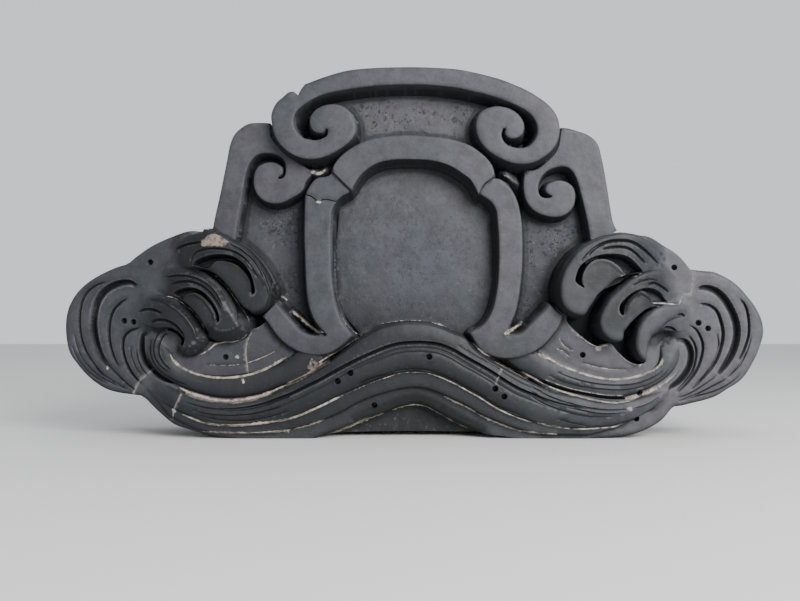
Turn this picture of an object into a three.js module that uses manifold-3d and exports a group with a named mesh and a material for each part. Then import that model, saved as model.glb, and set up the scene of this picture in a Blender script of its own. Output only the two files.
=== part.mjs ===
// Roof end tile in fired clay: a framed panel under a scrolled cap, with a wave wing at each side.
import * as THREE from 'three';
import { mergeVertices } from 'three/addons/utils/BufferGeometryUtils.js';
import Module from 'manifold-3d';

const wasm = await Module();
wasm.setup();

// Driving sizes, in millimetres. Depths are counted from the back plane towards the front.
const WIDTH = 486;
const HOLLOW = 40;
const PLATE = 20;
const WALL = 21;
const GROUND = HOLLOW + PLATE;
const BASE_RELIEF = 3.5;
const BASE_RELIEF_HALF = 72;
const EDGE_ROUND = 1.4;
const EDGE_DEPTH = 2.4;
const PINHOLE = 3.6;
const PINHOLE_DEPTH = 14;
const CURVE_ERROR = 0.34;
const TAIL_CUT = 200;

// How far the face of each part stands above the plain ground.
const RISE = {
  plate: 2,
  tablet: 3.5,
  panel: 8,
  shoulder: 14,
  wave: 15,
  lowStream: 19,
  mainStream: 23,
  wingStream: 20,
  bar: 20,
  arch: 22,
  cap: 25,
  lowHead: 25,
  midHead: 29,
  topHead: 33,
};
const FRONT = GROUND + RISE.topHead;

// The outlines are drawn as they are seen from one point in front of the tile, each on its own plane.
const EYE = { x: -10, z: 75, depth: 666.6 };
const CAP_PLANE = 84;
const WAVE_PLANE = 80;

// Carries a drawn point along its line of sight to the depth of its own face.
function carried([x, z], plane, depth) {
  const k = (EYE.depth - depth) / (EYE.depth - plane);
  return new THREE.Vector2((EYE.x + (x - EYE.x) * k) * SCALE, (EYE.z + (z - EYE.z) * k) * SCALE);
}

// Keeps the points of a run that a straight line would miss by more than CURVE_ERROR.
function thinned(points) {
  if (points.length < 3) {
    return points;
  }
  const first = points[0];
  const last = points[points.length - 1];
  const chord = new THREE.Vector2().subVectors(last, first);
  const length = Math.max(chord.length(), 1e-6);
  let far = 0;
  let at = 0;
  for (let i = 1; i < points.length - 1; i += 1) {
    const d = new THREE.Vector2().subVectors(points[i], first);
    const miss = chord.length() < 1e-3 ? d.length() : Math.abs(d.cross(chord)) / length;
    if (miss > far) {
      far = miss;
      at = i;
    }
  }
  if (far <= CURVE_ERROR) {
    return [first, last];
  }
  return [...thinned(points.slice(0, at + 1)), ...thinned(points.slice(at)).slice(1)];
}

// A smooth run through drawn points.
function smooth(points, plane, depth) {
  const through = points.map((p) => carried(p, plane, depth)).map((p) => new THREE.Vector3(p.x, p.y, 0));
  if (through.length === 2) {
    return through.map((p) => new THREE.Vector2(p.x, p.y));
  }
  const curve = new THREE.CatmullRomCurve3(through, false, 'centripetal');
  return thinned(curve.getPoints(8 * points.length).map((p) => new THREE.Vector2(p.x, p.y)));
}

// Joins smooth runs into one closed outline, with a corner where two runs meet.
function outline(runs, plane, depth) {
  const points = [];
  for (const run of runs) {
    for (const p of smooth(run, plane, depth)) {
      const before = points[points.length - 1];
      if (!before || before.distanceTo(p) > 0.4) {
        points.push(p);
      }
    }
  }
  if (points[0].distanceTo(points[points.length - 1]) < 0.4) {
    points.pop();
  }
  return points;
}

// Turns a closed geometry into a solid for the joins and cuts.
function solid(geometry) {
  const bare = geometry.clone();
  bare.deleteAttribute('normal');
  bare.deleteAttribute('uv');
  const welded = mergeVertices(bare, 1e-4);
  const vertProperties = new Float32Array(welded.attributes.position.array);
  const triVerts = new Uint32Array(welded.index.array);
  return new wasm.Manifold(new wasm.Mesh({ numProp: 3, vertProperties, triVerts }));
}

// Stands a shape drawn in width and height up, from one depth to another, with its front edge rounded.
function raised(points, from, to, round = EDGE_ROUND) {
  const bevelThickness = round > 0 ? EDGE_DEPTH : 0;
  const geometry = new THREE.ExtrudeGeometry(new THREE.Shape(points), {
    depth: to - from - 2 * bevelThickness,
    bevelEnabled: round > 0,
    bevelThickness,
    bevelSize: round,
    bevelOffset: -round,
    bevelSegments: 1,
    steps: 1,
  });
  geometry.translate(0, 0, from + bevelThickness);
  geometry.rotateX(Math.PI / 2);
  geometry.translate(0, FRONT / 2, 0);
  return solid(geometry);
}

// A block whose face stands `rise` above the ground; an outer one runs back through the whole wall.
function block(runs, plane, rise, outer = false) {
  const face = GROUND + rise;
  return raised(outline(runs, plane, face), outer ? -8 : GROUND - 6, face);
}

// A gouged stroke that tapers to a point at both ends.
function stroke(points, plane, rise, width, deep) {
  const face = GROUND + rise;
  const line = smooth(points, plane, face);
  const left = [];
  const right = [];
  for (let i = 1; i < line.length - 1; i += 1) {
    const along = new THREE.Vector2().subVectors(line[i + 1], line[i - 1]).normalize();
    const side = new THREE.Vector2(-along.y, along.x);
    const t = i / (line.length - 1);
    const half = 0.5 * width * Math.min(1, 2.6 * Math.sqrt(t * (1 - t)));
    left.push(line[i].clone().addScaledVector(side, half));
    right.unshift(line[i].clone().addScaledVector(side, -half));
  }
  const points2d = [line[0], ...left, line[line.length - 1], ...right];
  return raised(points2d, face - deep, FRONT + 10, 0);
}

// A cut between two drawn edges.
function crescent(outer, inner, plane, rise, deep) {
  const face = GROUND + rise;
  const points = outline([outer, [...inner].reverse()], plane, face);
  return raised(points, face - deep, FRONT + 10, 0);
}

function mirrored(points) {
  return points.map(([x, z]) => [-x, z]);
}

// The wave wings and the band that joins them, without the plain plate below the middle.
const LEFT_WING_TOP = [[-139.3, 143.6], [-156, 143.6], [-170, 140], [-184.3, 133.2], [-198.5, 122.4]];
const LEFT_LOBE = [
  [-200.5, 120.4], [-220.8, 111.8], [-233.9, 100.7], [-240.8, 84.5], [-240.3, 67.4],
  [-233.3, 52.2], [-221.0, 39.6], [-206.6, 32.5], [-192.1, 30.3],
];
const LEFT_TOE = [[-189, 30], [-181, 23.4], [-170.7, 13.8], [-157.4, 7.3], [-142, 2.7], [-122, 0]];
const RIGHT_TOE = [[122, 0], [141.6, 1.7], [157.8, 5.8], [170, 12.8], [177.2, 21], [179.2, 22.4]];
const RIGHT_LOBE = [
  [184.5, 23], [200.8, 27], [216.1, 34.5], [228.4, 44], [236.7, 58.3], [241.2, 72.4],
  [238.9, 85.6], [230.8, 98.2], [219.7, 109.3], [207.5, 115.4], [194.7, 116.6],
];
const RIGHT_WING_TOP = [[192.5, 117.4], [185, 126.5], [172.8, 134.5], [158.7, 141], [139.4, 143]];
const RIGHT_INNER = [[134.3, 141], [121, 135.5], [110, 126.5], [102.2, 112.8], [100.8, 98.7]];
const LEFT_INNER = [[-98.2, 98.6], [-99.7, 108.6], [-108.4, 123.2], [-122.3, 135], [-136, 141]];
const BAND_TOP = [[35, 71], [17.8, 76.8], [0, 79.8], [-16, 78.2], [-35.5, 71]];
const PLATE_ARCH = [[-75, -4], [-63, 3], [-37.3, 13.2], [-10.5, 23], [0, 25], [13.2, 20.6], [31.7, 10.9], [58, -4]];

// The tile's real width sets the size of all that is drawn.
const drawnXs = [...LEFT_LOBE, ...RIGHT_LOBE].map(([x]) => x);
const drawnWidth = Math.max(...drawnXs) - Math.min(...drawnXs);
const lobeCarry = (EYE.depth - GROUND - RISE.wave) / (EYE.depth - WAVE_PLANE);
const SCALE = WIDTH / (drawnWidth * lobeCarry);

const wave = block([
  RIGHT_TOE, RIGHT_LOBE, RIGHT_WING_TOP, RIGHT_INNER, [[93, 80], [70, 62], [50, 63]],
  BAND_TOP, [[-50, 63], [-70, 62], [-93, 80]], LEFT_INNER,
  LEFT_WING_TOP, LEFT_LOBE, LEFT_TOE, [[-90, -4], [-80, -4]], PLATE_ARCH, [[80, -4], [110, -4]],
], WAVE_PLANE, RISE.wave, true);

// The streams of the band, one stepped above the other.
const LOW_LINE = [
  [-150, 6.8], [-122, 4.8], [-93, 5.8], [-74.4, 10], [-55.8, 16.4], [-37.3, 26], [-18.8, 32.5], [0, 35.8],
  [17.8, 31.6], [36.3, 23], [54.8, 13.2], [73, 6.7], [96, 3.3], [120, 3],
];
const MAIN_LINE = [
  [-184, 31], [-171, 23], [-152.6, 14.8], [-132, 9.5], [-102, 10.4], [-83.6, 15.5], [-65, 23.8], [-37.3, 36.7],
  [-18.8, 43.6], [0, 47], [17.8, 43.6], [36.3, 34.4], [54.8, 23.3], [73, 15], [91.7, 9.5], [113, 8],
  [133.5, 8.8], [143, 11], [158, 18], [176, 28],
];
const UPPER_EDGE = [
  [176, 36], [160, 29.5], [140, 25.4], [114, 28.4], [96.3, 32], [77.8, 40.4], [60.3, 49.6], [45.5, 58.8],
  [31.7, 70.2], [17.8, 76.4], [0, 79.4], [-16, 77.8], [-35.5, 70.4], [-48.4, 60.6], [-61.4, 50.5],
  [-79, 40.4], [-102, 29.3], [-120.6, 25.6], [-139.6, 27], [-160, 33.5], [-184, 46],
];
// Lets the face of a head or stream fall from one drawn point to another, where it meets the lobe.
function withTail(body, high, low, rise) {
  const from = carried(high, WAVE_PLANE, GROUND + rise);
  const to = carried(low, WAVE_PLANE, GROUND + RISE.wave);
  const start = new THREE.Vector3(from.x, FRONT / 2 - GROUND - rise, from.y);
  const along = new THREE.Vector3(to.x, FRONT / 2 - GROUND - RISE.wave, to.y).sub(start).normalize();
  const across = new THREE.Vector3(0, 1, 0).cross(along).normalize();
  const outward = new THREE.Vector3().crossVectors(along, across);
  outward.multiplyScalar(outward.y > 0 ? -1 : 1);
  const above = new THREE.BoxGeometry(TAIL_CUT, TAIL_CUT, TAIL_CUT);
  above.applyMatrix4(new THREE.Matrix4().makeBasis(along, outward, new THREE.Vector3().crossVectors(along, outward)));
  const middle = start.addScaledVector(outward, TAIL_CUT / 2);
  above.translate(middle.x, middle.y, middle.z);
  return body.subtract(solid(above));
}

const lowBody = block([LOW_LINE, [[150, 12], [176, 30]], UPPER_EDGE, [[-186, 40], [-170, 20]]], WAVE_PLANE, RISE.lowStream);
const mainBody = block([MAIN_LINE, UPPER_EDGE], WAVE_PLANE, RISE.mainStream);
const [lowStream, mainStream] = [[lowBody, RISE.lowStream], [mainBody, RISE.mainStream]].map(([body, rise]) => {
  const fallsLeft = withTail(body, [-150, 22], [-190, 39], rise);
  return withTail(fallsLeft, [146, 20], [182, 34], rise);
});

// The stream that leaves each wave's eye and runs in under the hooked foot of the frame.
const LEFT_STREAM = [
  [[-169, 58], [-163, 50.2], [-147.8, 44.5], [-127.5, 43.5], [-107.3, 46.5], [-92, 52], [-80, 60]],
  [[-62, 55], [-79, 43], [-102, 33], [-122, 29.5], [-140, 30], [-160, 36.5], [-178, 49], [-184, 62], [-181, 72]],
];
const RIGHT_STREAM = [
  [[176, 72], [183.5, 64], [182, 52], [170, 39], [150, 31], [128.6, 29.5], [110, 32], [88, 40], [68, 52], [72, 58]],
  [[86, 59.3], [103.3, 50.2], [123.6, 43.3], [143.8, 41.3], [162, 45.6], [169.8, 53.2], [170.8, 58]],
];
const leftStream = block(LEFT_STREAM, WAVE_PLANE, RISE.wingStream);
const rightStream = block(RIGHT_STREAM, WAVE_PLANE, RISE.wingStream);

// The three curling heads of the left wing.
const leftTopHead = withTail(block([
  [[-170, 126], [-163, 139.8], [-151, 142], [-141, 141.6], [-131, 139], [-117, 130.5], [-106, 116.5],
    [-100.3, 103], [-103.4, 92], [-110, 87.4], [-118, 90.6]],
  [[-120.2, 93], [-130.5, 106.8], [-142.7, 116.4], [-158, 119]],
], WAVE_PLANE, RISE.topHead), [-140, 130], [-186, 124], RISE.topHead);
const leftMidHead = withTail(block([
  [[-184, 112], [-172, 119], [-158, 119.5], [-142.7, 116.4], [-130.5, 106.8], [-120.2, 93], [-113, 77.5],
    [-119, 69.4], [-132, 66.6], [-142.4, 70.4]],
  [[-143.6, 73.4], [-150.3, 85.6], [-160.5, 94], [-173.7, 99.2]],
], WAVE_PLANE, RISE.midHead), [-148, 106], [-190, 107], RISE.midHead);
const leftLowHead = withTail(block([
  [[-197, 93], [-185, 99], [-173.7, 99.2], [-160.5, 94], [-150.3, 85.6], [-142.5, 69.4], [-147, 61.3],
    [-156, 56.8], [-164.2, 61.8]],
  [[-159.2, 68.4], [-165.4, 75], [-177.5, 76], [-190, 80]],
], WAVE_PLANE, RISE.lowHead), [-165, 86], [-203, 86], RISE.lowHead);

// The three curling heads of the right wing.
const rightTopHead = withTail(block([
  [[174, 116], [180, 127], [164.7, 136.6], [150.6, 141], [134.3, 140.4], [115, 131.5], [102.2, 112.8],
    [100.8, 98.7], [106.6, 88], [116.7, 85], [121, 90.6]],
  [[127, 99.7], [140.2, 110.8], [156.5, 114.5]],
], WAVE_PLANE, RISE.topHead), [146, 130], [188, 121], RISE.topHead);
const rightMidHead = withTail(block([
  [[188, 108], [182.8, 113.3], [164.6, 116], [149.4, 110.3], [136, 98.2], [128.4, 84.6], [130.4, 72.4],
    [139, 67], [145, 74.4]],
  [[155.3, 85.6], [168, 91.5], [182, 94]],
], WAVE_PLANE, RISE.midHead), [154, 106], [195, 105], RISE.midHead);
const rightLowHead = withTail(block([
  [[198, 84], [189, 92], [174.6, 92.6], [162.4, 87.6], [154.2, 76.4], [152.4, 64.3], [159.7, 53.2]],
  [[160.5, 62], [164.3, 70], [171, 74], [180, 74.5], [190, 76]],
], WAVE_PLANE, RISE.lowHead), [164, 84], [204, 83], RISE.lowHead);

// The hooked hollows of the heads.
const headCuts = [
  crescent(
    [[-159, 120], [-147.8, 123.4], [-137.6, 126], [-125.5, 123.4], [-115.3, 116], [-112.2, 100.7]],
    [[-150, 118.6], [-140.6, 120.4], [-131.5, 122.6], [-119.4, 117], [-113.8, 106.8]],
    WAVE_PLANE, RISE.topHead, 16),
  crescent(
    [[-171.4, 100.7], [-160.7, 104.2], [-148.6, 103.2], [-139.4, 94.6], [-135, 80.5]],
    [[-160.7, 97.5], [-150.6, 99.6], [-140.4, 92.6], [-137, 86.6]],
    WAVE_PLANE, RISE.midHead, 14),
  crescent(
    [[118, 104], [111.6, 107.8], [113.4, 115.4], [122, 122.4], [139.3, 127.5], [150.4, 123.4], [160, 116]],
    [[117.4, 108.8], [119, 118], [134.2, 122.6], [143.3, 117], [152, 113.8]],
    WAVE_PLANE, RISE.topHead, 16),
  crescent(
    [[145, 85], [142, 91.6], [151.3, 101], [164.5, 103.7], [179.7, 95.3]],
    [[145.4, 90.6], [153, 97], [163, 99], [172.6, 95.4]],
    WAVE_PLANE, RISE.midHead, 14),
];

// Long grooves of the lobes and streams.
const lobeLines = [
  [[[-192.2, 104.7], [-203, 107.6], [-213.4, 101.6], [-220.6, 88], [-221, 72], [-213, 54], [-206, 46]], 4.5],
  [[[-213.4, 107.8], [-227, 99.2], [-231.5, 85.5], [-228.3, 65.4], [-218, 50.2]], 2.4],
  [[[-198, 97.7], [-209.3, 89.6], [-211.6, 74.4], [-207, 52.2]], 2.6],
  [[[-189.2, 76.4], [-201.3, 65.3], [-197.6, 52.2], [-188, 38]], 2.6],
  [[[-183.6, 73], [-186.6, 62], [-179, 48], [-168, 40]], 3.4],
  [[[195, 104.2], [207, 104], [218.5, 92], [222.6, 74], [218, 60], [209.6, 46]], 5],
  [[[226, 94], [229.5, 76], [222.8, 54.2], [210.4, 40]], 2.4],
  [[[197.4, 93.4], [208, 87.6], [212.4, 73.4], [206.7, 55.2], [194.4, 40]], 3],
  [[[189.7, 78.5], [198.7, 63.3], [192.5, 46], [186, 37]], 2.6],
  [[[181, 68.4], [189, 67.5], [191.6, 56], [185, 42], [174, 33]], 5],
].map(([points, width]) => stroke(points, WAVE_PLANE, RISE.wave, width, 4));
const BAND_GROOVE = [
  [-118, 21], [-102, 24.7], [-83.6, 31.6], [-65, 40.8], [-46.6, 51], [-28, 59.7], [0, 66.4], [17.8, 64.8],
  [36.3, 55.6], [54.8, 45], [73, 34], [91.7, 26.5], [112, 20.8],
];
const bandLines = [stroke(BAND_GROOVE, WAVE_PLANE, RISE.mainStream, 2.8, 3.5)];

// The awl holes pressed right through the clay skin of the waves.
const PINHOLES = [
  [-184.3, 122.4], [-202, 81.5], [-195.5, 80.7], [-131.2, 56.3], [-44, 45.6], [-52.6, 40], [-27.8, 23],
  [10, 56.7], [55.2, 34.8], [61.4, 29.5], [117, 57.8], [153.8, 13.6], [181.3, 118.7], [197.8, 80], [204.4, 76.2],
];
const pinholes = PINHOLES.map((p) => {
  const at = carried(p, WAVE_PLANE, WAVE_PLANE);
  const hole = new THREE.CylinderGeometry(PINHOLE / 2, PINHOLE / 2, 60, 8);
  hole.translate(at.x, FRONT / 2 - (GROUND + RISE.wave - PINHOLE_DEPTH + 30), at.y);
  return solid(hole);
});

// The shoulders, each a strip that curls into a small volute.
const leftShoulder = block([
  [[-140.5, 136], [-137.7, 152], [-131.4, 182.5], [-127.5, 203], [-120, 214.7], [-107.6, 218.4], [-96, 218.4]],
  [[-90, 196], [-80, 190], [-70, 184]],
  [[-72, 180.5], [-76.5, 171.8], [-84.3, 166], [-96, 162], [-106.6, 166], [-111, 177], [-107.6, 188],
    [-99, 191], [-92, 186]],
  [[-89.2, 184], [-91.5, 190.6], [-98, 196], [-107.6, 196], [-114.4, 188.3], [-117.8, 174.7], [-122.6, 143.5],
    [-124, 134]],
], CAP_PLANE, RISE.shoulder, true);
const rightShoulder = block([
  [[121.6, 132], [119, 149.3], [113.8, 171.8], [108.4, 185], [100.7, 187.7], [91, 184], [85.6, 174.7],
    [87, 167.4], [93, 166.4]],
  [[92.9, 168], [90, 172.7], [95.8, 177.6], [105.5, 177], [110.9, 168], [107, 156.6], [96.8, 152.7],
    [84.2, 156], [76.4, 165], [75, 177.6]],
  [[76, 186], [88, 194], [94, 214.6]],
  [[101.2, 215], [112.3, 212.7], [124, 207], [128.8, 196], [133.2, 171.8], [137, 148.8], [141, 136]],
], CAP_PLANE, RISE.shoulder, true);

// The cap band, which ends in two inward volutes; a chip breaks its edge at the left.
const cap = block([
  [[-80.7, 237.8], [-83.3, 240.2], [-87.7, 239.6], [-95, 233.2], [-99.3, 223.5], [-97.4, 210.8], [-91, 201],
    [-80.4, 194.4], [-68.7, 193], [-57, 196.6], [-46.4, 203.5], [-41, 210.8], [-41.6, 221], [-47.4, 228.8],
    [-56, 231.5], [-65.8, 229.3], [-72, 222.5], [-71.7, 214.7], [-65.8, 211], [-61.4, 213.4]],
  [[-60.5, 213.2], [-60.9, 210], [-67.8, 206.4], [-77.5, 208.3], [-83.1, 216.6], [-81.8, 225.4], [-75, 231.8],
    [-63.9, 237.6], [-41.6, 242.2], [0, 244.9], [30, 242.5], [56, 236], [74.5, 228.3], [84.2, 218], [84, 208],
    [76, 201], [66, 202.4], [60.6, 208], [61.4, 213.7]],
  [[62.8, 214], [64.3, 208.3], [71.6, 207.9], [75.9, 215], [73.5, 222.5], [64.8, 228.8], [53, 229.5],
    [44.4, 224], [42.4, 213.7], [47.3, 202.5], [58, 194.2], [72.5, 189.5], [87, 192.7], [96.8, 201],
    [100.7, 213.9], [96.8, 226.4], [85, 237], [69.6, 245], [50, 251.6], [30, 255.9], [0, 258], [-30, 257],
    [-57, 252.2], [-75, 245.8]],
], CAP_PLANE, RISE.cap, true);

// The panel behind the cap, the arch piece and the sunk tablet.
const panel = block([
  [[-64, 186], [-66, 228], [-40, 246], [0, 249], [40, 246], [66, 228], [64, 186]],
  [[46, 190], [0, 202], [-46, 190]],
], CAP_PLANE, RISE.panel);
const arch = block([
  [[-57, 184.4], [-52.7, 193.2], [-42.5, 201.5], [-30, 207], [0, 209.8], [30, 205.7], [45.3, 198], [55, 182]],
  [[55, 182], [48.3, 175.7], [43.4, 169]],
  [[43.4, 169], [38.5, 178.6], [26, 187.4], [9.4, 192.2], [-10, 192.7], [-26, 189.8], [-36.7, 182], [-43.5, 170.8]],
], CAP_PLANE, RISE.arch);
const tablet = block([[[-60, 60], [-60, 190], [0, 200], [60, 190], [60, 60]]], CAP_PLANE, RISE.tablet);

// The side bars of the frame, whose feet turn out into hooks.
const leftBar = block([
  [[-57, 186], [-63, 182.5], [-71.7, 178.6], [-76, 168], [-76.4, 137], [-75.5, 114], [-71, 85.5], [-62, 72]],
  [[-68.8, 70.8], [-79, 74.5], [-88.2, 84.6], [-96, 93.8]],
  [[-104.9, 84.6], [-97.5, 74.5], [-87.3, 64.3], [-73.4, 58.3], [-59.5, 58.8], [-48.4, 65.7], [-42.9, 71.3]],
  [[-46.6, 75.4], [-53.5, 89], [-57.7, 118.7], [-57.6, 150.3], [-52, 166.5], [-43.5, 171.6]],
], WAVE_PLANE, RISE.bar);
const rightBar = block([
  [[38, 73.5], [46.4, 60.6], [60.3, 55.6], [76, 57.4], [89.8, 65.3], [100, 78.2], [102.8, 85]],
  [[93.5, 93], [85.2, 83.7], [73.2, 72.6], [64, 72]],
  [[69.5, 86.4], [73.5, 106.7], [74.9, 137], [73.5, 160], [66, 176], [54, 184]],
  [[43, 172], [52, 166], [57.2, 153], [58.3, 118.7], [53.8, 89], [45.5, 77]],
], WAVE_PLANE, RISE.bar);

// The plain ground behind all of it, kept just inside the faces above.
const GROUND_EDGE = [
  [-122, -4], [-165, 13], [-196, 34], [-228, 54], [-236, 80], [-225, 103], [-200, 116], [-180, 131],
  [-150, 140], [-134, 141], [-127, 190], [-118, 211], [-100, 215], [-80, 234], [-40, 249], [0, 253],
  [40, 249], [80, 236], [97, 214], [113, 209], [125, 197], [134, 142], [150, 140], [180, 125], [198, 113],
  [225, 99], [235, 75], [224, 46], [200, 31], [176, 23], [160, 8], [122, -4],
];
const groundEdge = GROUND_EDGE.map((p) => carried(p, WAVE_PLANE, WAVE_PLANE));
const ground = raised(groundEdge, -8, GROUND, 0);
const plate = block([[[80, -4], [60, 24], [0, 34], [-60, 24], [-90, -4]]], WAVE_PLANE, RISE.plate);

// The hollow of the back, which leaves the outer wall and the plate.
const HOLLOW_HALF = [
  [0, 3 + WALL], [70, 3 + WALL], [150, 6 + WALL], [190, 26 + WALL], [240 - WALL, 72], [222 - WALL, 97],
  [162, 141 - WALL], [126, 125], [138 - WALL, 148], [132 - WALL, 188], [94, 216 - WALL], [76, 240 - WALL],
  [40, 250 - WALL], [0, 254 - WALL],
];
const hollowEdge = [...HOLLOW_HALF, ...mirrored(HOLLOW_HALF).reverse().slice(1, -1)]
  .map(([x, z]) => new THREE.Vector3(x * SCALE, z * SCALE, 0));
const hollowCurve = new THREE.CatmullRomCurve3(hollowEdge, true, 'centripetal');
const hollowRim = thinned(hollowCurve.getPoints(160).map((p) => new THREE.Vector2(p.x, p.y)));
hollowRim.pop();
const hollow = raised(hollowRim, -10, HOLLOW, 0);

// Plain cutters: what lies below the base, behind the back, and the low relief under the middle.
const CUT = 700;
const below = new THREE.BoxGeometry(CUT, CUT, 60);
below.translate(0, 0, -30);
const behind = new THREE.BoxGeometry(CUT, 60, CUT);
behind.translate(0, FRONT / 2 + 30, 0);
const baseRelief = new THREE.CylinderGeometry(1, 1, CUT, 40);
baseRelief.scale(BASE_RELIEF_HALF, 1, BASE_RELIEF);

// One fired piece.
const raisedParts = [
  wave, lowStream, mainStream, leftStream, rightStream, leftTopHead, leftMidHead, leftLowHead,
  rightTopHead, rightMidHead, rightLowHead, leftShoulder, rightShoulder, cap, panel, arch, tablet,
  leftBar, rightBar, plate,
];
const cuts = [...headCuts, ...lobeLines, ...bandLines, ...pinholes, hollow, solid(below), solid(behind), solid(baseRelief)];
let tile = raisedParts.reduce((sum, part) => sum.add(part), ground);
tile = cuts.reduce((sum, cut) => sum.subtract(cut), tile);

const mesh = tile.getMesh();
const geometry = new THREE.BufferGeometry();
geometry.setAttribute('position', new THREE.BufferAttribute(new Float32Array(mesh.vertProperties), 3));
geometry.setIndex(new THREE.BufferAttribute(new Uint32Array(mesh.triVerts), 1));
geometry.computeVertexNormals();

const clay = new THREE.MeshStandardMaterial({ color: 0x55575d, roughness: 0.55, metalness: 0.0 });
const roofEndTile = new THREE.Mesh(geometry, clay);
roofEndTile.name = 'roof_end_tile';

const group = new THREE.Group();
group.name = 'roof_end_tile_object';
group.add(roofEndTile);

export default group;
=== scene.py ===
"""A roof end tile in smoked clay: a framed tablet under a scrolled cap, with a carved wave wing at each side.

The carved front is one sheet of relief. Its outlines and gouged lines are drawn in millimetres as they are
seen from one point in front of the tile, and each is carried along its line of sight to its own depth.
"""

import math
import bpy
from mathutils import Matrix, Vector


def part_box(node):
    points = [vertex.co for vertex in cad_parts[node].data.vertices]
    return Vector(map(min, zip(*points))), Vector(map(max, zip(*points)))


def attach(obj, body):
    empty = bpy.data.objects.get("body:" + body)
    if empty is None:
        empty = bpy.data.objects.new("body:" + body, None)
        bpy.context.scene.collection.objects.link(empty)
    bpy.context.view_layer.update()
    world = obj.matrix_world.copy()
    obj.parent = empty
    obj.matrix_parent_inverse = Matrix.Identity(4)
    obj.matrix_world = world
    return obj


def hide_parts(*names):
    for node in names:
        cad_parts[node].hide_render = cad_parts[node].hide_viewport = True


bl_info = {
    "name": "Roof end tile",
    "version": (1, 0, 0),
    "blender": (4, 5, 0),
    "location": "View3D > Sidebar > Roof tile",
    "description": "Makes a carved roof end tile and a plain floor to stand it on",
    "category": "Add Mesh",
}

import bmesh
import bpy
import numpy as np
from bpy.props import FloatProperty, FloatVectorProperty, PointerProperty
from mathutils import Vector, geometry, kdtree

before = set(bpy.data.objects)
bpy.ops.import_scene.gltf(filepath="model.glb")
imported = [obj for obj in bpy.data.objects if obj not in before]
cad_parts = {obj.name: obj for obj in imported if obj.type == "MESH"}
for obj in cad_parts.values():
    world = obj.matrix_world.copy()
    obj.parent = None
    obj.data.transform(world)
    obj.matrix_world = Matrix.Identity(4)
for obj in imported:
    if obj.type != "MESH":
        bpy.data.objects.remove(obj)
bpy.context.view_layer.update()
NODE = "roof_end_tile"
NODE_LOW, NODE_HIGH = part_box(NODE)
BACK_Y = NODE_HIGH[1]
FULL_DEPTH = 1000 * (NODE_HIGH[1] - NODE_LOW[1])
FULL_HEIGHT = 1000 * NODE_HIGH[2]

# Depths are in millimetres from the back plane towards the viewer.
HOLLOW = 40.0
GROUND = 60.0
FACE = {
    "plate": GROUND + 2,
    "tablet": GROUND + 3.5,
    "panel": GROUND + 8,
    "shoulder": GROUND + 14,
    "lobe": GROUND + 15,
    "low_stream": GROUND + 15,
    "mid_stream": GROUND + 19,
    "main_stream": GROUND + 23,
    "wing_stream": GROUND + 19,
    "bar": GROUND + 20,
    "arch": GROUND + 22,
    "cap": GROUND + 25,
    "low_head": GROUND + 25,
    "mid_head": GROUND + 29,
    "top_head": FULL_DEPTH,
}
# Depths of the wing's inner edge at the left, of the packed dirt, and of the deepest point of the front.
INNER_EDGE = GROUND + 4
DIRT = FACE["mid_stream"]
DEEPEST = 30.0

# The point that the outlines are seen from, and the planes that they are drawn on.
EYE_X, EYE_Z, EYE_DEPTH = -10.0, 75.0, 666.6
CAP_PLANE = 84.0
WAVE_PLANE = 80.0

# Outlines of the tile, as smooth runs with a corner where two meet.
LEFT_WING_TOP = [(-139.3, 143.6), (-148, 143.9), (-156, 143.6), (-163, 142.3), (-170, 140), (-177, 137),
                 (-184.3, 133.2), (-194.4, 126), (-198.5, 122.4)]
LEFT_LOBE = [(-200.5, 120.4), (-205.6, 119), (-212.7, 116), (-220.8, 111.8), (-227.9, 106.8), (-233.9, 100.7),
             (-238.4, 93), (-240.8, 84.5), (-241.2, 76), (-240.3, 67.4), (-238.1, 59.3), (-233.3, 52.2),
             (-227.1, 45), (-221, 39.6), (-213.7, 35), (-206.6, 32.5), (-192.1, 30.3)]
LEFT_TOE = [(-189, 30), (-185, 27.5), (-181, 23.4), (-175.8, 18.4), (-165.6, 10.3), (-157.4, 7.3),
            (-149.3, 5), (-142, 2.7), (-132, 1), (-122, 0)]
RIGHT_TOE = [(122, 0), (131.4, 0.9), (141.6, 1.7), (149.7, 3.2), (157.8, 5.8), (164, 8.8), (170, 12.8),
             (174, 17), (177.2, 21), (179.2, 22.4)]
RIGHT_LOBE = [(184.5, 23), (192.6, 25), (200.8, 27), (208, 29.5), (216.1, 34.5), (223.4, 39), (228.4, 44),
              (233.5, 52.2), (236.7, 58.3), (239.3, 65.4), (241.2, 72.4), (240.9, 79.5), (238.9, 85.6),
              (235.5, 92), (230.8, 98.2), (225.7, 104.2), (219.7, 109.3), (213.5, 112.8), (207.5, 115.4),
              (201.3, 116), (194.7, 116.6)]
RIGHT_WING_TOP = [(192.5, 117.4), (189, 122), (185, 126.5), (180, 130.5), (172.8, 134.5), (164.7, 138.6),
                  (158.7, 141), (150.6, 142.7), (144.5, 143.4), (139.4, 143)]
LEFT_SHOULDER_RIM = [(-139.3, 143), (-137.7, 152), (-133.8, 170), (-131.4, 182.5), (-129.4, 193),
                     (-127.5, 203), (-124.6, 210), (-120, 214.7), (-114.4, 217.8), (-107.6, 218.4),
                     (-100, 218.2)]
RIGHT_SHOULDER_RIM = [(101.2, 215), (106.5, 214.4), (112.3, 212.7), (119, 210.3), (124, 207), (127.4, 202),
                      (128.8, 196), (130.3, 189.3), (133.2, 171.8), (136, 153), (137, 148.8), (139.5, 143.5)]
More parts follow.
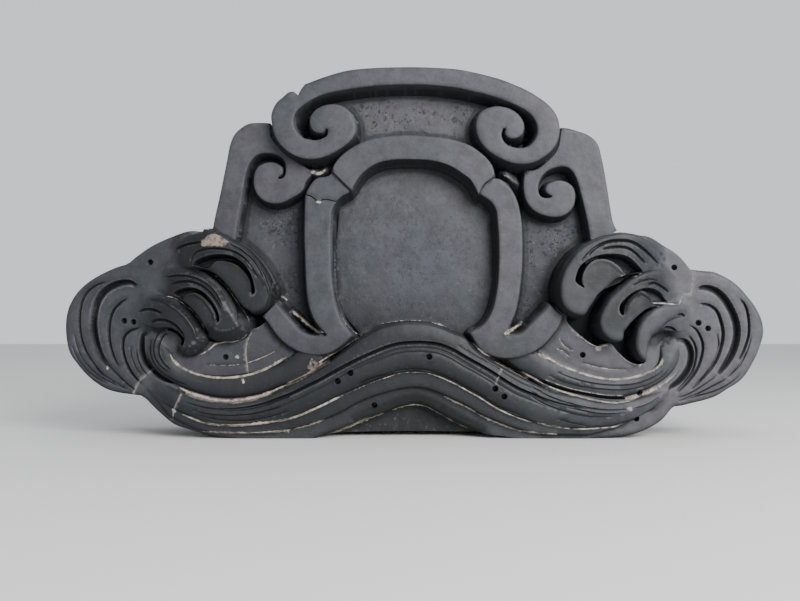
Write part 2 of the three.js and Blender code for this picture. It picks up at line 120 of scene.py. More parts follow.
CAP_TOP = [(100.7, 213.9), (99.7, 220.5), (96.8, 226.4), (92, 231.8), (85, 237), (77.4, 241.5), (69.6, 245),
           (60, 248.8), (50, 251.6), (40, 254), (30, 255.9), (19, 256.8), (0, 257.5), (-17, 257.3),
           (-30, 256.8), (-40.6, 255.9), (-50.3, 254.2), (-63.9, 250), (-76, 245.4)]
CAP_NOTCH = [(-76, 245.4), (-78.9, 241.5), (-80.7, 237.8)]
CAP_ARM = [(-80.7, 237.8), (-83.3, 240.2), (-85.2, 240.6), (-87.7, 239.6), (-91, 236.6), (-95, 233.2),
           (-97.7, 228.8), (-99.3, 223.5), (-98.6, 216.6)]
BASE_RELIEF, BASE_RELIEF_HALF = 3.5, 72.0

CAP_LEFT_VOLUTE = [(-98.6, 216.6), (-97.4, 210.8), (-95, 205.9), (-91, 201), (-86.2, 197.1), (-80.4, 194.4),
                   (-74.6, 193), (-68.7, 193), (-62.9, 194.2), (-57, 196.6), (-51.3, 200), (-46.4, 203.5),
                   (-43, 207), (-41, 210.8), (-40.6, 215.7), (-41.6, 221), (-44, 225.4), (-47.4, 228.8),
                   (-51.3, 230.8), (-56, 231.5), (-61, 231), (-65.8, 229.3), (-69.7, 226.4), (-72, 222.5),
                   (-72.6, 218.6), (-71.7, 214.7), (-69.2, 212), (-65.8, 211), (-62.9, 211.3), (-61, 213.7)]
CAP_UNDERSIDE = [(-60.2, 213.7), (-60.5, 209.8), (-62.9, 207.9), (-67.8, 206.4), (-72.6, 206.9),
                 (-77.5, 208.3), (-80.9, 211.8), (-83.1, 216.6), (-83.3, 221), (-81.8, 225.4), (-78.9, 228.8),
                 (-75, 231.8), (-69.7, 235), (-63.9, 237.6), (-57, 239.6), (-41.6, 242.2), (-30, 243.8),
                 (-17, 244.6), (0, 244.9), (9.4, 244.7), (19, 243.8), (30, 242.5), (40, 240.2), (50, 238),
                 (62.8, 233.7), (74.5, 228.3), (79.3, 225), (82.7, 221), (84.7, 215.7), (84.7, 210.8),
                 (82.7, 206), (79.3, 202.5), (74.5, 201), (68.6, 201.5), (63.8, 203.5), (61.4, 206.4),
                 (60.4, 209.8), (61.4, 213.7)]
CAP_RIGHT_VOLUTE = [(63, 214.4), (62.3, 211.3), (64.3, 208.3), (67.7, 207.2), (71.6, 207.9), (74.5, 209.8),
                    (75.9, 213.7), (75.9, 217.6), (73.5, 222.5), (69.6, 226.4), (64.8, 228.8), (58.9, 230),
                    (53, 229.5), (47.8, 227.4), (44.4, 224), (42.6, 219), (42.4, 213.7), (43.9, 208),
                    (47.3, 202.5), (52, 198), (58, 194.2), (65.7, 190.8), (72.5, 189.5), (80.3, 190),
                    (87, 192.7), (93, 197), (96.8, 201), (99.7, 207), (100.7, 212.7)]
CAP = [CAP_TOP, CAP_NOTCH, CAP_ARM, CAP_LEFT_VOLUTE, CAP_UNDERSIDE, CAP_RIGHT_VOLUTE]

LEFT_SHOULDER = [
    LEFT_SHOULDER_RIM,
    [(-99.5, 214), (-98.8, 208.8), (-95, 203), (-88.2, 196), (-80.4, 190.8), (-70, 184)],
    [(-70, 183), (-72, 180.5), (-75, 176.6), (-76.5, 171.8), (-79.4, 168.8), (-84.3, 166), (-90, 163),
     (-96, 162), (-101.7, 163), (-106.6, 166), (-109.5, 170), (-111, 174.7), (-111, 179.6), (-110, 184.4),
     (-107.6, 188), (-104.7, 189.8), (-100.8, 190.8), (-97, 190.8), (-93, 188.8), (-90.9, 186.4),
     (-91.2, 182.6), (-93.8, 180.4)],
    [(-93.3, 179.4), (-91, 180), (-89.3, 182.5), (-89, 187.4), (-90, 191.8), (-93, 194.7), (-98, 196.6),
     (-102.7, 197), (-107.6, 196), (-111.5, 193.2), (-114.4, 188.3), (-116.3, 182.5), (-117.8, 174.7),
     (-119.2, 164), (-121.2, 153), (-122.6, 143.5), (-124, 134)],
]
RIGHT_SHOULDER = [
    [(121.6, 132), (120.6, 139.6), (119, 149.3), (116.2, 162), (113.8, 171.8), (111.4, 179.6), (108.4, 185),
     (104.6, 187.4), (100.7, 187.7), (95.8, 186.4), (91, 184), (87.6, 180), (85.6, 174.7), (85.6, 170.3),
     (87, 167.4), (90, 166.2), (92.9, 166.4), (94.4, 167)],
    [(92.9, 168), (90.5, 170.3), (90, 172.7), (92, 175.7), (95.8, 177.6), (100.7, 178.3), (105.5, 177),
     (109, 174.2), (110.7, 170.3), (110.9, 166), (110, 161), (107, 156.6), (102.6, 153.7), (96.8, 152.7),
     (90, 153.7), (84.2, 156), (79.3, 160), (76.4, 165), (75.2, 170.8), (75, 177.6), (75.9, 183.5)],
    [(77, 184.6), (84, 186), (92, 192), (98.5, 200), (101, 213)],
    RIGHT_SHOULDER_RIM,
]

ARCH = [
    [(-57, 184.4), (-56, 188.3), (-52.7, 193.2), (-48.3, 197.6), (-42.5, 201.5), (-36.7, 204.4), (-30, 207),
     (-19, 208.8), (0, 209.8), (9.4, 209), (19, 208), (30, 205.7), (38.5, 202.5), (45.3, 198), (50, 193.7),
     (53.6, 188.8), (55, 184.4), (55, 180.7)],
    [(55, 180.7), (48.3, 175.7), (44.4, 168.8)],
    [(43.6, 169), (41.5, 173.7), (38.5, 178.6), (32.7, 183), (26, 187.4), (18.2, 190.5), (9.4, 192.2),
     (0, 192.7), (-10, 192.7), (-19, 191.8), (-26, 189.8), (-31.8, 186.4), (-36.7, 182), (-40.6, 176.6),
     (-43.5, 170.8)],
]
LEFT_BAR = [
    [(-57, 186), (-59, 182.5), (-67.8, 180.5), (-71.7, 176.6), (-74, 172.7), (-75.5, 169.3), (-76.2, 158),
     (-76.4, 137), (-76, 128), (-75.5, 114), (-74.8, 103), (-73.4, 93), (-71, 85.5), (-68, 80), (-64.2, 75.4),
     (-61, 72.2)],
    [(-61, 71.2), (-68.8, 70.5), (-74.4, 71.7), (-79, 74.5), (-83.6, 79), (-88.2, 84.6), (-92.9, 90),
     (-96, 93.8)],
    [(-96, 93.8), (-104.9, 84.6)],
    [(-104.9, 84.6), (-101.2, 80), (-97.5, 74.5), (-92.9, 69), (-87.3, 64.3), (-80.8, 60.6), (-73.4, 58.3),
     (-66, 57.7), (-59.5, 58.8), (-54, 61.6), (-48.4, 65.7), (-44.7, 69.4), (-42.9, 71.3)],
    [(-42.9, 71.3), (-46.6, 75.4), (-50.3, 81), (-53.5, 89), (-55.8, 97.5), (-56.8, 106.7), (-57.7, 118.7),
     (-58, 128), (-58.2, 138), (-57.6, 150.3), (-57, 158), (-53.7, 164.4), (-51.3, 167), (-47.4, 169.3),
     (-43.5, 170.8)],
]
RIGHT_BAR = [
    [(38, 73), (46.4, 60.6), (52.9, 57.4), (60.3, 55.6), (68.6, 55.6), (76, 57.4), (83.4, 60.6), (89.8, 65.3),
     (95.4, 71.7), (100, 78.2), (102.8, 85)],
    [(102.8, 85), (99, 87.4), (93.5, 93)],
    [(93.5, 93), (89.8, 88.3), (85.2, 83.7), (79.7, 78.2), (73.2, 72.6), (64, 71.4)],
    [(63.4, 72.8), (66.3, 79), (69.5, 86.4), (71.8, 95.7), (73.5, 106.7), (74.6, 118.7), (74.9, 137),
     (74.5, 148.3), (73.5, 156), (71.6, 164), (68.6, 170.8), (64.8, 175.7), (60, 179.6), (56, 180.5),
     (52, 181)],
    [(44.4, 170), (48.3, 167.4), (52, 165), (55, 161.5), (56.8, 157), (57.5, 150.3), (58.4, 137),
     (58.3, 118.7), (57.5, 106.7), (56, 97.5), (53.8, 89), (50, 81.8), (45.5, 77), (40.4, 74.5), (38, 73)],
]
TABLET = [
    [(-53, 150), (-54.4, 128), (-54, 103), (-52, 94.7), (-49.4, 87.4), (-45.6, 81), (-41, 76), (-34, 66)],
    [(-34, 66), (0, 70), (34, 66)],
    [(34, 66), (40, 77), (46, 82), (50, 90), (53, 101), (54.6, 118), (54.6, 137), (53.6, 150), (51, 159),
     (44, 164), (40.6, 168), (38, 174), (32, 180), (24, 184.6), (14, 187.6), (0, 189), (-14, 188.2),
     (-24, 186), (-32, 180.6), (-37.5, 173), (-41, 167.6), (-48, 164), (-52, 158), (-53, 150)],
]
PANEL = [
    [(-66, 190), (-68, 228), (-40, 247), (0, 250), (40, 247), (68, 228), (66, 186)],
    [(46, 190), (0, 203), (-46, 192)],
]

# Streams of the band that joins the wings.
BAND_CREST = [(-120.6, 25.6), (-111.4, 27), (-102, 29.3), (-90, 34.8), (-79, 40.4), (-68.8, 46),
              (-61.4, 50.5), (-55.8, 55), (-48.4, 60.6), (-42, 65.3), (-35.5, 70), (-30, 73), (-23.4, 76.3),
              (-16, 78.2), (-9.5, 79.5), (0, 79.8), (8.6, 79.3), (17.8, 76.8), (27, 73), (35.4, 69.5),
              (40, 63.4), (45.5, 58.8), (53, 53.7), (60.3, 49.6), (68.6, 45), (77.8, 40.4), (87, 35.8),
              (96.3, 32), (105.5, 29.8), (114, 28.4)]
BAND_GROOVE = [(-134, 20.5), (-120.6, 21), (-111, 22.4), (-102, 24.7), (-93, 28), (-83.6, 31.6),
               (-74.4, 36.2), (-65, 40.8), (-55.8, 46), (-46.6, 51), (-37.3, 55.6), (-28, 59.7),
               (-18.8, 63.4), (-9.5, 65.7), (0, 66.4), (8.6, 66.2), (17.8, 64.8), (27, 61), (36.3, 55.6),
               (45.5, 50.5), (54.8, 45), (64, 39), (73, 34), (82.5, 30.2), (91.7, 26.5), (105.5, 23),
               (118, 20.8)]
MAIN_FOOT = [(-184, 31), (-178, 27), (-171, 23), (-162.8, 19), (-152.6, 14.8), (-142.5, 10.8), (-132, 9.5),
             (-120.6, 9.4), (-111, 9.3), (-102, 10.4), (-93, 12.7), (-83.6, 15.5), (-74.4, 19.2), (-65, 23.8),
             (-55.8, 28.4), (-46.6, 32.5), (-37.3, 36.7), (-28, 40.4), (-18.8, 43.6), (-9.5, 46.4), (0, 47),
             (8.6, 46.4), (17.8, 43.6), (27, 39.5), (36.3, 34.4), (45.5, 29.3), (54.8, 23.3), (64, 18.7),
             (73, 15), (82.5, 11.8), (91.7, 9.5), (101, 8), (113, 7.6), (123.4, 8), (133.5, 8.8),
             (142.6, 10.8), (152, 14), (162, 19), (174, 27)]
MID_FOOT = [(-149.5, 6.8), (-137.3, 5), (-122, 4.4), (-102, 4.4), (-93, 5.8), (-83.6, 7.6), (-74.4, 10),
            (-65, 12.7), (-55.8, 16.4), (-46.6, 21), (-37.3, 26), (-28, 29.8), (-18.8, 32.5), (-9.5, 34.8),
            (0, 35.8), (8.6, 34.8), (17.8, 31.6), (27, 27.5), (36.3, 23), (45.5, 17.3), (54.8, 13.2),
            (64, 9.5), (73, 6.7), (82.5, 4.4), (96, 3.3), (120, 3)]
LOW_FOOT = [(-75, -3), (-63, 3), (-55.8, 5.3), (-46.6, 9), (-37.3, 13.2), (-28, 16.4), (-18.8, 19.6),
            (-10.5, 23), (-4.9, 24.2), (0, 25), (6.7, 24), (13.2, 20.6), (22.4, 15.5), (31.7, 10.9),
            (40.9, 6.7), (47.4, 4.4), (60, -3)]

LEFT_INNER = [(-96, 98), (-97.5, 107.8), (-101, 114.8), (-106, 122), (-112.4, 128.5), (-119.5, 133.5),
              (-127.6, 138), (-135.3, 141)]
RIGHT_INNER = [(134.3, 141), (128.2, 138.6), (121, 135.5), (115, 131.5), (110, 126.5), (105.3, 120),
               (102.2, 112.8), (100.6, 105.8), (100.8, 98.7)]

# The sheet that both wings share, and the upper streams of the band. A run paired with a number has that
# depth, and the others lie at the depth of the face.
WING_SHEET = [RIGHT_TOE, RIGHT_LOBE, RIGHT_WING_TOP, RIGHT_INNER, [(93, 80), (70, 62), (50, 63)],
              BAND_CREST[::-1][3:-3], [(-50, 63), (-70, 62), (-93, 80)], (LEFT_INNER, INNER_EDGE),
              LEFT_WING_TOP, LEFT_LOBE, LEFT_TOE, [(-100, -3), (-80, -3)], LOW_FOOT, [(70, -3), (110, -3)]]
MID_STREAM = [MID_FOOT, [(140, 8), (166, 22)], BAND_CREST[::-1], [(-140, 24), (-172, 27), (-184, 34)],
              [(-170, 17), (-158, 10.5)]]
MAIN_STREAM = [MAIN_FOOT, [(178, 34), (160, 29), (140, 24.6), (125, 25.6)], BAND_CREST[::-1],
               [(-130, 24.4), (-150, 27), (-170, 35), (-184, 44)]]
# Where the band's ends sink into the wings, and the fine lines beside its groove: first and last point of the
# groove that a line follows, and how far beside it lies.
BAND_ENDS = [((-150, 22), (-188, 39)), ((146, 20), (182, 34))]
BESIDE_GROOVE = [(8, -7, 3.4), (10, -5, 6.2), (2, -14, 5.0), (-12, -2, 4.2), (-10, -2, -4.4)]

LEFT_STREAM = [
    [(-168, 59), (-166, 53.5), (-162, 49.6), (-157, 46.9), (-147.8, 44.4), (-137.7, 43.4), (-127.5, 43.6),
     (-117.4, 45), (-107.3, 46.8), (-98, 50), (-92.2, 52.4), (-84, 58), (-78, 64)],
    [(-58, 60), (-62, 53), (-70, 46), (-80, 41), (-92, 36.6), (-107.2, 31.4), (-117.3, 29.4), (-129.4, 28.6),
     (-139.6, 29.6), (-149.8, 32), (-160, 35.6), (-168, 39.6), (-175.2, 44), (-181.3, 50), (-184.4, 55),
     (-186, 61), (-186.6, 66), (-185, 71), (-182, 74)],
]
RIGHT_STREAM = [
    [(176.5, 72.4), (181, 69.4), (183.8, 64.3), (183.5, 57.3), (180.4, 49.2), (174.3, 42.6), (166, 37),
     (156, 32.5), (145, 29.4), (138.7, 28), (128.6, 28.4), (113.3, 31), (100, 35), (93, 37.6), (80, 44),
     (66, 52), (60, 60)],
    [(78, 64), (86, 59.8), (93.2, 54.9), (103.3, 50.4), (113.4, 46.4), (123.6, 43.6), (133.7, 41.9),
     (143.8, 41.6), (154, 42.9), (162, 45.8), (167.2, 49.5), (169.6, 53.6), (170.4, 58), (170.8, 62.5),
     (172, 67), (174.4, 70.6)],
]

# The curling heads. A head's first run is its outer edge, at the foot of a flank that slopes off, and the
# others lie on its face. The left top head has no such flank.
LEFT_TOP_HEAD = [
    [(-176, 122), (-172, 131), (-163, 139.8), (-156, 142.4), (-148, 143.2)],
    [(-139.3, 143), (-135.3, 141), (-127.6, 138), (-119.5, 133.5), (-112.4, 128.5), (-106, 122),
     (-101, 114.8), (-97.5, 107.8), (-95.4, 101.7), (-96, 96.7), (-98.8, 90.6), (-102.8, 87.6), (-108, 86.6)],
    [(-112, 87), (-118, 90.6)],
    [(-120.2, 93), (-125.4, 100.2), (-130.5, 106.8), (-136.6, 112.8), (-142.7, 116.4), (-149.8, 118.4),
     (-160, 118.6)],
]
LEFT_MID_HEAD = [
    [(-186, 109), (-178, 116), (-168, 119), (-158, 119), (-149.8, 118.4), (-142.7, 116.4), (-136.6, 112.8),
     (-130.5, 106.8), (-125.4, 100.2), (-120.2, 93), (-116, 87), (-113.6, 82.5), (-113, 77.5), (-115, 72.4),
     (-119, 69.4), (-125, 67), (-132, 66.6), (-138.3, 68), (-142.4, 70.4)],
    [(-143.6, 73.4), (-146.2, 79.5), (-150.3, 85.6), (-155.4, 91), (-160.5, 95), (-165.6, 97.7),
     (-175, 99.6)],
]
LEFT_LOW_HEAD = [
    [(-199, 90), (-194, 95), (-188, 98), (-181.8, 99.2), (-173.7, 99.2), (-165.6, 97.7), (-160.5, 94.4),
     (-155.4, 91), (-150.3, 85.6), (-146.2, 79.5), (-143.6, 73.4), (-142.5, 69.4), (-144, 65.3), (-147, 61.3),
     (-151, 58.3), (-156, 56.8), (-161.2, 58.8), (-164.2, 61.8)],
    [(-163.2, 65.3), (-159.2, 68.4), (-161.3, 72), (-165.4, 75), (-171.4, 77), (-177.5, 76.5), (-186, 78),
     (-193, 82)],
]
RIGHT_TOP_HEAD = [
    [(177, 117), (181, 122), (179, 129), (172.8, 133.5), (164.7, 137.6), (158.7, 140), (150.6, 141.8),
     (144.5, 142.4), (138, 141.6), (128.2, 138.6), (121, 135.5), (115, 131.5), (110, 126.5), (105.3, 120),
     (102.2, 112.8), (100.6, 105.8), (100.8, 98.7), (102.6, 92.6), (106.6, 88), (111.7, 85.6), (116.7, 85),
     (118.8, 86.6), (121, 90.6)],
    [(127, 99.7), (134, 105.8), (140.2, 110.8), (146, 113.3), (158, 115)],
]
RIGHT_MID_HEAD = [
    [(191, 106), (188, 111), (182.8, 114.3), (172.7, 116.4), (164.6, 116), (156.5, 113.8), (149.4, 110.3),
     (142.2, 104.2), (136, 98.2), (131.5, 91.6), (128.4, 84.6), (128, 78.5), (130.4, 72.4), (134, 69),
     (139, 67), (143.5, 68), (145, 74.4)],
    [(149, 79.5), (155.3, 85.6), (162, 90), (172, 92.4), (184, 94)],
]
RIGHT_LOW_HEAD = [
    [(200, 82), (196, 88), (189, 91.6), (182.7, 92), (174.6, 92.6), (168.5, 91), (162.4, 87.6), (157.3, 82.5),
     (154.2, 76.4), (152.7, 70.4), (152.4, 64.3), (154, 58.3), (156.6, 54.7), (159.7, 53.2)],
    [(160.5, 60), (161.5, 66), (164.3, 69.6), (168.4, 73), (174.5, 74.4), (182, 74), (192, 75)],
]

# Hooked hollows under the crests: outer edge, then inner edge.
CREST_HOLLOWS = [
    ([(-155.5, 120.2), (-153.5, 123), (-148.4, 125.5), (-141.3, 127.2), (-134.3, 127.8), (-126.2, 126.5),
      (-119.1, 122), (-114, 115.4), (-111.2, 107.8), (-110.4, 100.8), (-112.5, 99.2)],
     [(-113.4, 101.3), (-114, 107.8), (-117.6, 113.9), (-122.6, 119.2), (-128.2, 121.8), (-134.3, 122.8),
      (-138.3, 121.8), (-142.4, 117.9), (-148.4, 118.4)], "top_head", 15.0),
    ([(-170.2, 100.8), (-164.6, 103.3), (-157.5, 104.8), (-150.5, 103.8), (-144.4, 100.2), (-138.8, 93.7),
      (-135.3, 86.6), (-134.7, 81.5), (-136.5, 79.7)],
     [(-137.3, 82), (-138.8, 87.6), (-142.4, 93.5), (-147.4, 98.5), (-153, 100.8), (-157.5, 99.9),
      (-161.6, 96.2), (-166.7, 98.7)], "mid_head", 13.0),
    ([(-176.6, 76), (-171.7, 77.2), (-165.6, 75.7), (-160.6, 71.4), (-158.8, 66.9), (-160.6, 63.5)],
     [(-163.6, 65.4), (-164.6, 68.9), (-168.2, 72.4), (-172.2, 74)], "low_head", 14.0),
    ([(118.2, 103.6), (114.1, 106), (111.3, 108.8), (111.9, 113.4), (114.6, 119.2), (119.7, 123.5),
      (125.3, 126.2), (132.3, 127.8), (140.4, 127.8), (148.5, 125.8), (154.6, 121.2), (160.7, 115.7)],
     [(152.1, 114.1), (145.5, 114.3), (141.7, 118.7), (136.4, 122.6), (130.3, 124.2), (124.2, 123),
      (119.7, 119.2), (116.8, 113.9), (115.9, 108.3)], "top_head", 15.0),
    ([(145, 84.4), (142.3, 86.4), (141.5, 90.6), (144.5, 95.9), (150.6, 100.8), (156.6, 103.6),
      (163.7, 104.4), (170.8, 102.2), (175.9, 97.9), (180.1, 93.3)],
     [(170.8, 94.3), (165.7, 94.5), (162.5, 98.9), (158.7, 101.8), (154.6, 101.2), (148.7, 96.5),
      (145.7, 91.4), (144.9, 86.6)], "mid_head", 13.0),
]

# Gouged lines: points, width, depth, and the side that is cut more steeply, from -1 to 1.
LOBE_LINES = [
    ([(-213.2, 108.3), (-219.3, 106.3), (-225.4, 101.8), (-228.9, 96.2), (-230.6, 89.6), (-231.1, 80.5),
      (-229.9, 70.4), (-226.9, 61.3), (-222.8, 54.2), (-217.3, 47.2), (-210.2, 40.1)], 2.0, 1.8, -0.3),
    ([(-192, 105.3), (-196, 107.6), (-201.1, 107.8), (-207.1, 106.1), (-213.2, 102.5), (-217.8, 96.7),
      (-220.3, 89.6), (-221.3, 80.5), (-220.5, 71.4), (-218.8, 64.4), (-215.7, 56.8),
      (-211.2, 50.2)], 5.4, 5.0, -0.45),
    ([(-224.4, 78.5), (-223.1, 69.9), (-220.3, 61.3), (-215.2, 53.2)], 1.2, 0.8, 0.0),
    ([(-198.5, 96.7), (-203.1, 93.7), (-207.7, 88.6), (-210.2, 81.5), (-210.7, 72.4), (-209.7, 64.4),
      (-207.1, 56.3), (-203.6, 49.7)], 2.4, 2.2, -0.3),
    ([(-189.4, 76.5), (-196, 74.5), (-200.1, 70.4), (-201.1, 63.3), (-199.6, 55.3), (-196.5, 48.2),
      (-192, 42.1), (-187.9, 38.1)], 2.4, 2.3, -0.3),
    ([(-196, 64.4), (-195.2, 57.3), (-192.5, 50.2), (-188.9, 44.1)], 1.4, 0.9, 0.0),
    ([(-192, 62.3), (-190.4, 54.2), (-186.9, 47.2), (-183.9, 44.1)], 1.4, 1.0, 0.0),
    ([(-183.9, 73.3), (-186.9, 71.4), (-187.9, 65.4), (-187.2, 58.3), (-184.9, 52.7), (-179.8, 47.2),
      (-173.7, 42.3), (-165.6, 38.9)], 4.4, 4.6, -0.45),
    ([(-179.8, 70.4), (-182, 65.4), (-181.6, 58.3), (-178.8, 52.2), (-173.7, 46.2), (-165.6, 41.1),
      (-155.5, 37.1)], 1.6, 1.2, 0.0),
    ([(-174.8, 74.5), (-178.3, 69.4), (-179.5, 63.3), (-178.6, 57.3), (-174.8, 51.2),
      (-168.7, 46.2)], 1.6, 1.2, 0.0),
    ([(-169.7, 73.5), (-173.7, 70.4), (-175.8, 64.4), (-175.3, 58.3), (-172.2, 52.7),
      (-166.7, 47.7)], 1.8, 1.3, 0.0),
    ([(-235, 72.4), (-233, 64.4), (-229.4, 56.3), (-223.8, 49.2), (-216.3, 43.1), (-207.1, 38.1),
      (-199, 35)], 1.3, 0.8, 0.0),
    ([(-236.5, 64.4), (-233.5, 57.3), (-228.4, 50.2), (-221.3, 43.6), (-212.2, 38.1)], 1.2, 0.7, 0.0),
    ([(-227.4, 60.3), (-222.3, 51.7), (-215.2, 45.1), (-207.1, 39.6), (-198, 34)], 1.3, 0.8, 0.0),
    ([(-209.7, 49.7), (-204.1, 44.1), (-198, 38.1), (-192, 33.5)], 1.4, 1.0, 0.0),
    ([(-214.2, 55.3), (-209.7, 49.2), (-202.1, 41.6), (-194, 35)], 1.2, 0.8, 0.0),
    ([(196.1, 103.6), (201.2, 104.2), (207.8, 102.2), (213.8, 96.7), (218.6, 88.6), (221.6, 80.5),
      (222.2, 71.4), (219.6, 61.3), (214.3, 51.7), (208.8, 44.6)], 5.8, 5.2, 0.45),
    ([(225, 96.7), (228.5, 91.7), (230.5, 82.6), (230.5, 72.4), (227.5, 62.3), (223.4, 54.2)], 2.2, 2.1, 0.3),
    ([(232.6, 71.4), (230.5, 63.3), (226.5, 55.3), (221.4, 48.2), (215.3, 42.1)], 1.3, 0.9, 0.0),
    ([(197.1, 93.2), (203.2, 92.2), (208.3, 88.6), (211.3, 81.5), (212.8, 72.4), (211.3, 63.3), (207.2, 53.2),
      (200.2, 44.1), (193.1, 37.1)], 2.8, 2.6, 0.3),
    ([(208.8, 73.5), (209.8, 65.4), (207.8, 57.3), (203.2, 48.2), (196.1, 39.1), (190, 34)], 1.5, 1.2, 0.0),
    ([(190, 78), (194.1, 75.5), (197.6, 69.4), (198.8, 63.3), (197.4, 55.3), (194.1, 47.2), (189, 40.1),
      (180.9, 32)], 2.3, 2.2, 0.3),
    ([(189, 71.4), (192.1, 67.4), (194.1, 61.3), (193.6, 54.2), (191.1, 46.2), (186, 39.1),
      (179.9, 32.5)], 2.0, 1.9, 0.2),
    ([(180.9, 68.2), (187, 66.9), (190, 61.3), (190.2, 55.3), (188, 48.2), (183, 41.1),
      (174.9, 35)], 4.8, 4.4, 0.45),
    ([(225.5, 45.1), (216.4, 38.1), (206.2, 33), (191.1, 29), (180.9, 25.9)], 1.4, 0.9, 0.0),
    ([(215.3, 41.6), (205.2, 36.6), (194.1, 31), (185, 27.5)], 1.4, 1.0, 0.0),
    ([(208.8, 44.1), (200.2, 38.1), (191.1, 32.5), (180.9, 28)], 1.2, 0.8, 0.0),
    ([(229.5, 60.3), (224.5, 51.2), (216.4, 43.1)], 1.1, 0.7, 0.0),
]
CREST_LINES = [
    ([(-169.2, 132.1), (-164.6, 133.9), (-158.6, 135.3), (-148.4, 136.3)], 2.0, 1.7, "top_head"),
    ([(-156.7, 122), (-155, 126.7), (-151.5, 129.5), (-144.9, 131.2), (-137.3, 131.5), (-127.2, 130.1),
      (-119.6, 126.2), (-113, 118.9), (-108.4, 110.9)], 1.8, 1.4, "top_head"),
    ([(-128.2, 134.6), (-120.1, 130.6), (-112.5, 124), (-106.9, 115.9),
      (-103.7, 108.8)], 1.2, 0.8, "top_head"),
    ([(-175.8, 112.1), (-169.7, 112.9), (-163.6, 113.1), (-155.5, 111.9), (-148.4, 109.3), (-142.4, 105.3),
      (-137.3, 99.7), (-133.2, 92.7)], 2.0, 1.7, "mid_head"),
    ([(-171.7, 106.8), (-167.7, 108), (-160.6, 108.8), (-153.5, 108.3), (-147.4, 105.8), (-141.3, 100.8),
      (-136.3, 94.2), (-133.2, 88.6)], 2.0, 1.6, "mid_head"),
    ([(-193.5, 87.4), (-187.9, 89.4), (-181.8, 89.1), (-174.8, 86.6)], 2.2, 2.0, "low_head"),
    ([(-183.9, 80.3), (-178.8, 82), (-171.7, 81.5), (-165.6, 78.5), (-160.6, 72.9),
      (-158.4, 67.9)], 2.4, 2.2, "low_head"),
    ([(120.2, 126.5), (125.3, 131.8), (132.3, 135.6), (142.5, 137.1), (150.6, 136.1), (158.7, 132.1),
      (165.7, 127.5), (173.8, 121.5)], 2.6, 2.3, "top_head"),
    ([(129.8, 131.1), (138.4, 132.6), (146.5, 132.1), (152.6, 129.1), (157.6, 125),
      (162.2, 121.5)], 2.2, 1.9, "top_head"),
    ([(115.1, 122.5), (120.2, 128.6), (126.3, 133.1), (132.3, 135.3)], 1.3, 0.8, "top_head"),
    ([(161.7, 107.1), (166.8, 107.8), (172.8, 105.6), (179.4, 101.6)], 2.2, 2.0, "mid_head"),
    ([(150.6, 105.8), (156.6, 108.8), (163.7, 110.4), (170.8, 109.3)], 1.3, 0.8, "mid_head"),
    ([(172.8, 77), (177.9, 76.7), (182.4, 74.5)], 2.2, 2.2, "low_head"),
    ([(183, 85.4), (187, 86.1), (189.5, 84.1)], 2.0, 1.8, "low_head"),
    ([(169.8, 76), (174.9, 80.5), (180.9, 83.4), (187, 84.2)], 1.3, 0.8, "low_head"),
]
RIDGE_LINES = [
    ([(-152, 117.2), (-145.4, 114.6), (-138.3, 109.4), (-131.2, 102.4), (-126.7, 95.8), (-123.8, 88.6),
      (-122.8, 81)],
     2.6, 1.1, "mid_head"),
    ([(-183.9, 97.2), (-171.7, 94.2), (-163.6, 89.2), (-156.5, 82.2), (-152, 75.2),
      (-151, 68.4)], 2.6, 1.1, "low_head"),
    ([(-125.1, 128), (-116, 122), (-107.9, 113.9), (-101.9, 105.8), (-100, 98.7)], 2.2, 0.9, "top_head"),
    ([(-141.3, 117.4), (-137.3, 121.8), (-131.2, 122.4), (-125.1, 120.8), (-118.6, 116.2), (-114, 109.3),
      (-113, 101.8)], 2.6, 1.3, "top_head"),
    ([(-160.6, 96.2), (-157.8, 98.9), (-153, 100), (-147.9, 97.7), (-143.1, 93), (-139, 86.4),
      (-137.3, 81.5)], 2.4, 1.2, "mid_head"),
    ([(-187.9, 97.2), (-179.8, 96.9), (-172.7, 94.5), (-166.7, 90.6)], 2.4, 0.8, "low_head"),
    ([(117.4, 104.8), (117, 111.9), (120.2, 118.4), (124.7, 122), (130.3, 123), (136.4, 121.3),
      (141.2, 117.4), (145, 113.4)], 2.4, 1.2, "top_head"),
    ([(146, 86.6), (147, 91.7), (150.6, 97.2), (155.6, 100.2), (160.7, 98.7),
      (164.7, 94.7)], 2.2, 1.1, "mid_head"),
    ([(165.7, 93.5), (172.8, 93.3), (180.9, 92.9)], 2.0, 1.0, "mid_head"),
]
PINHOLES = [(-184.3, 122.4), (-202, 81.5), (-195.5, 80.7), (-131.2, 56.3), (-44, 45.6), (-52.6, 40),
            (-27.8, 23), (10, 56.7), (55.2, 34.8), (61.4, 29.5), (117, 57.8), (156, 31.5), (153.8, 13.6),
            (181.3, 118.7), (197.8, 80), (204.4, 76.2)]

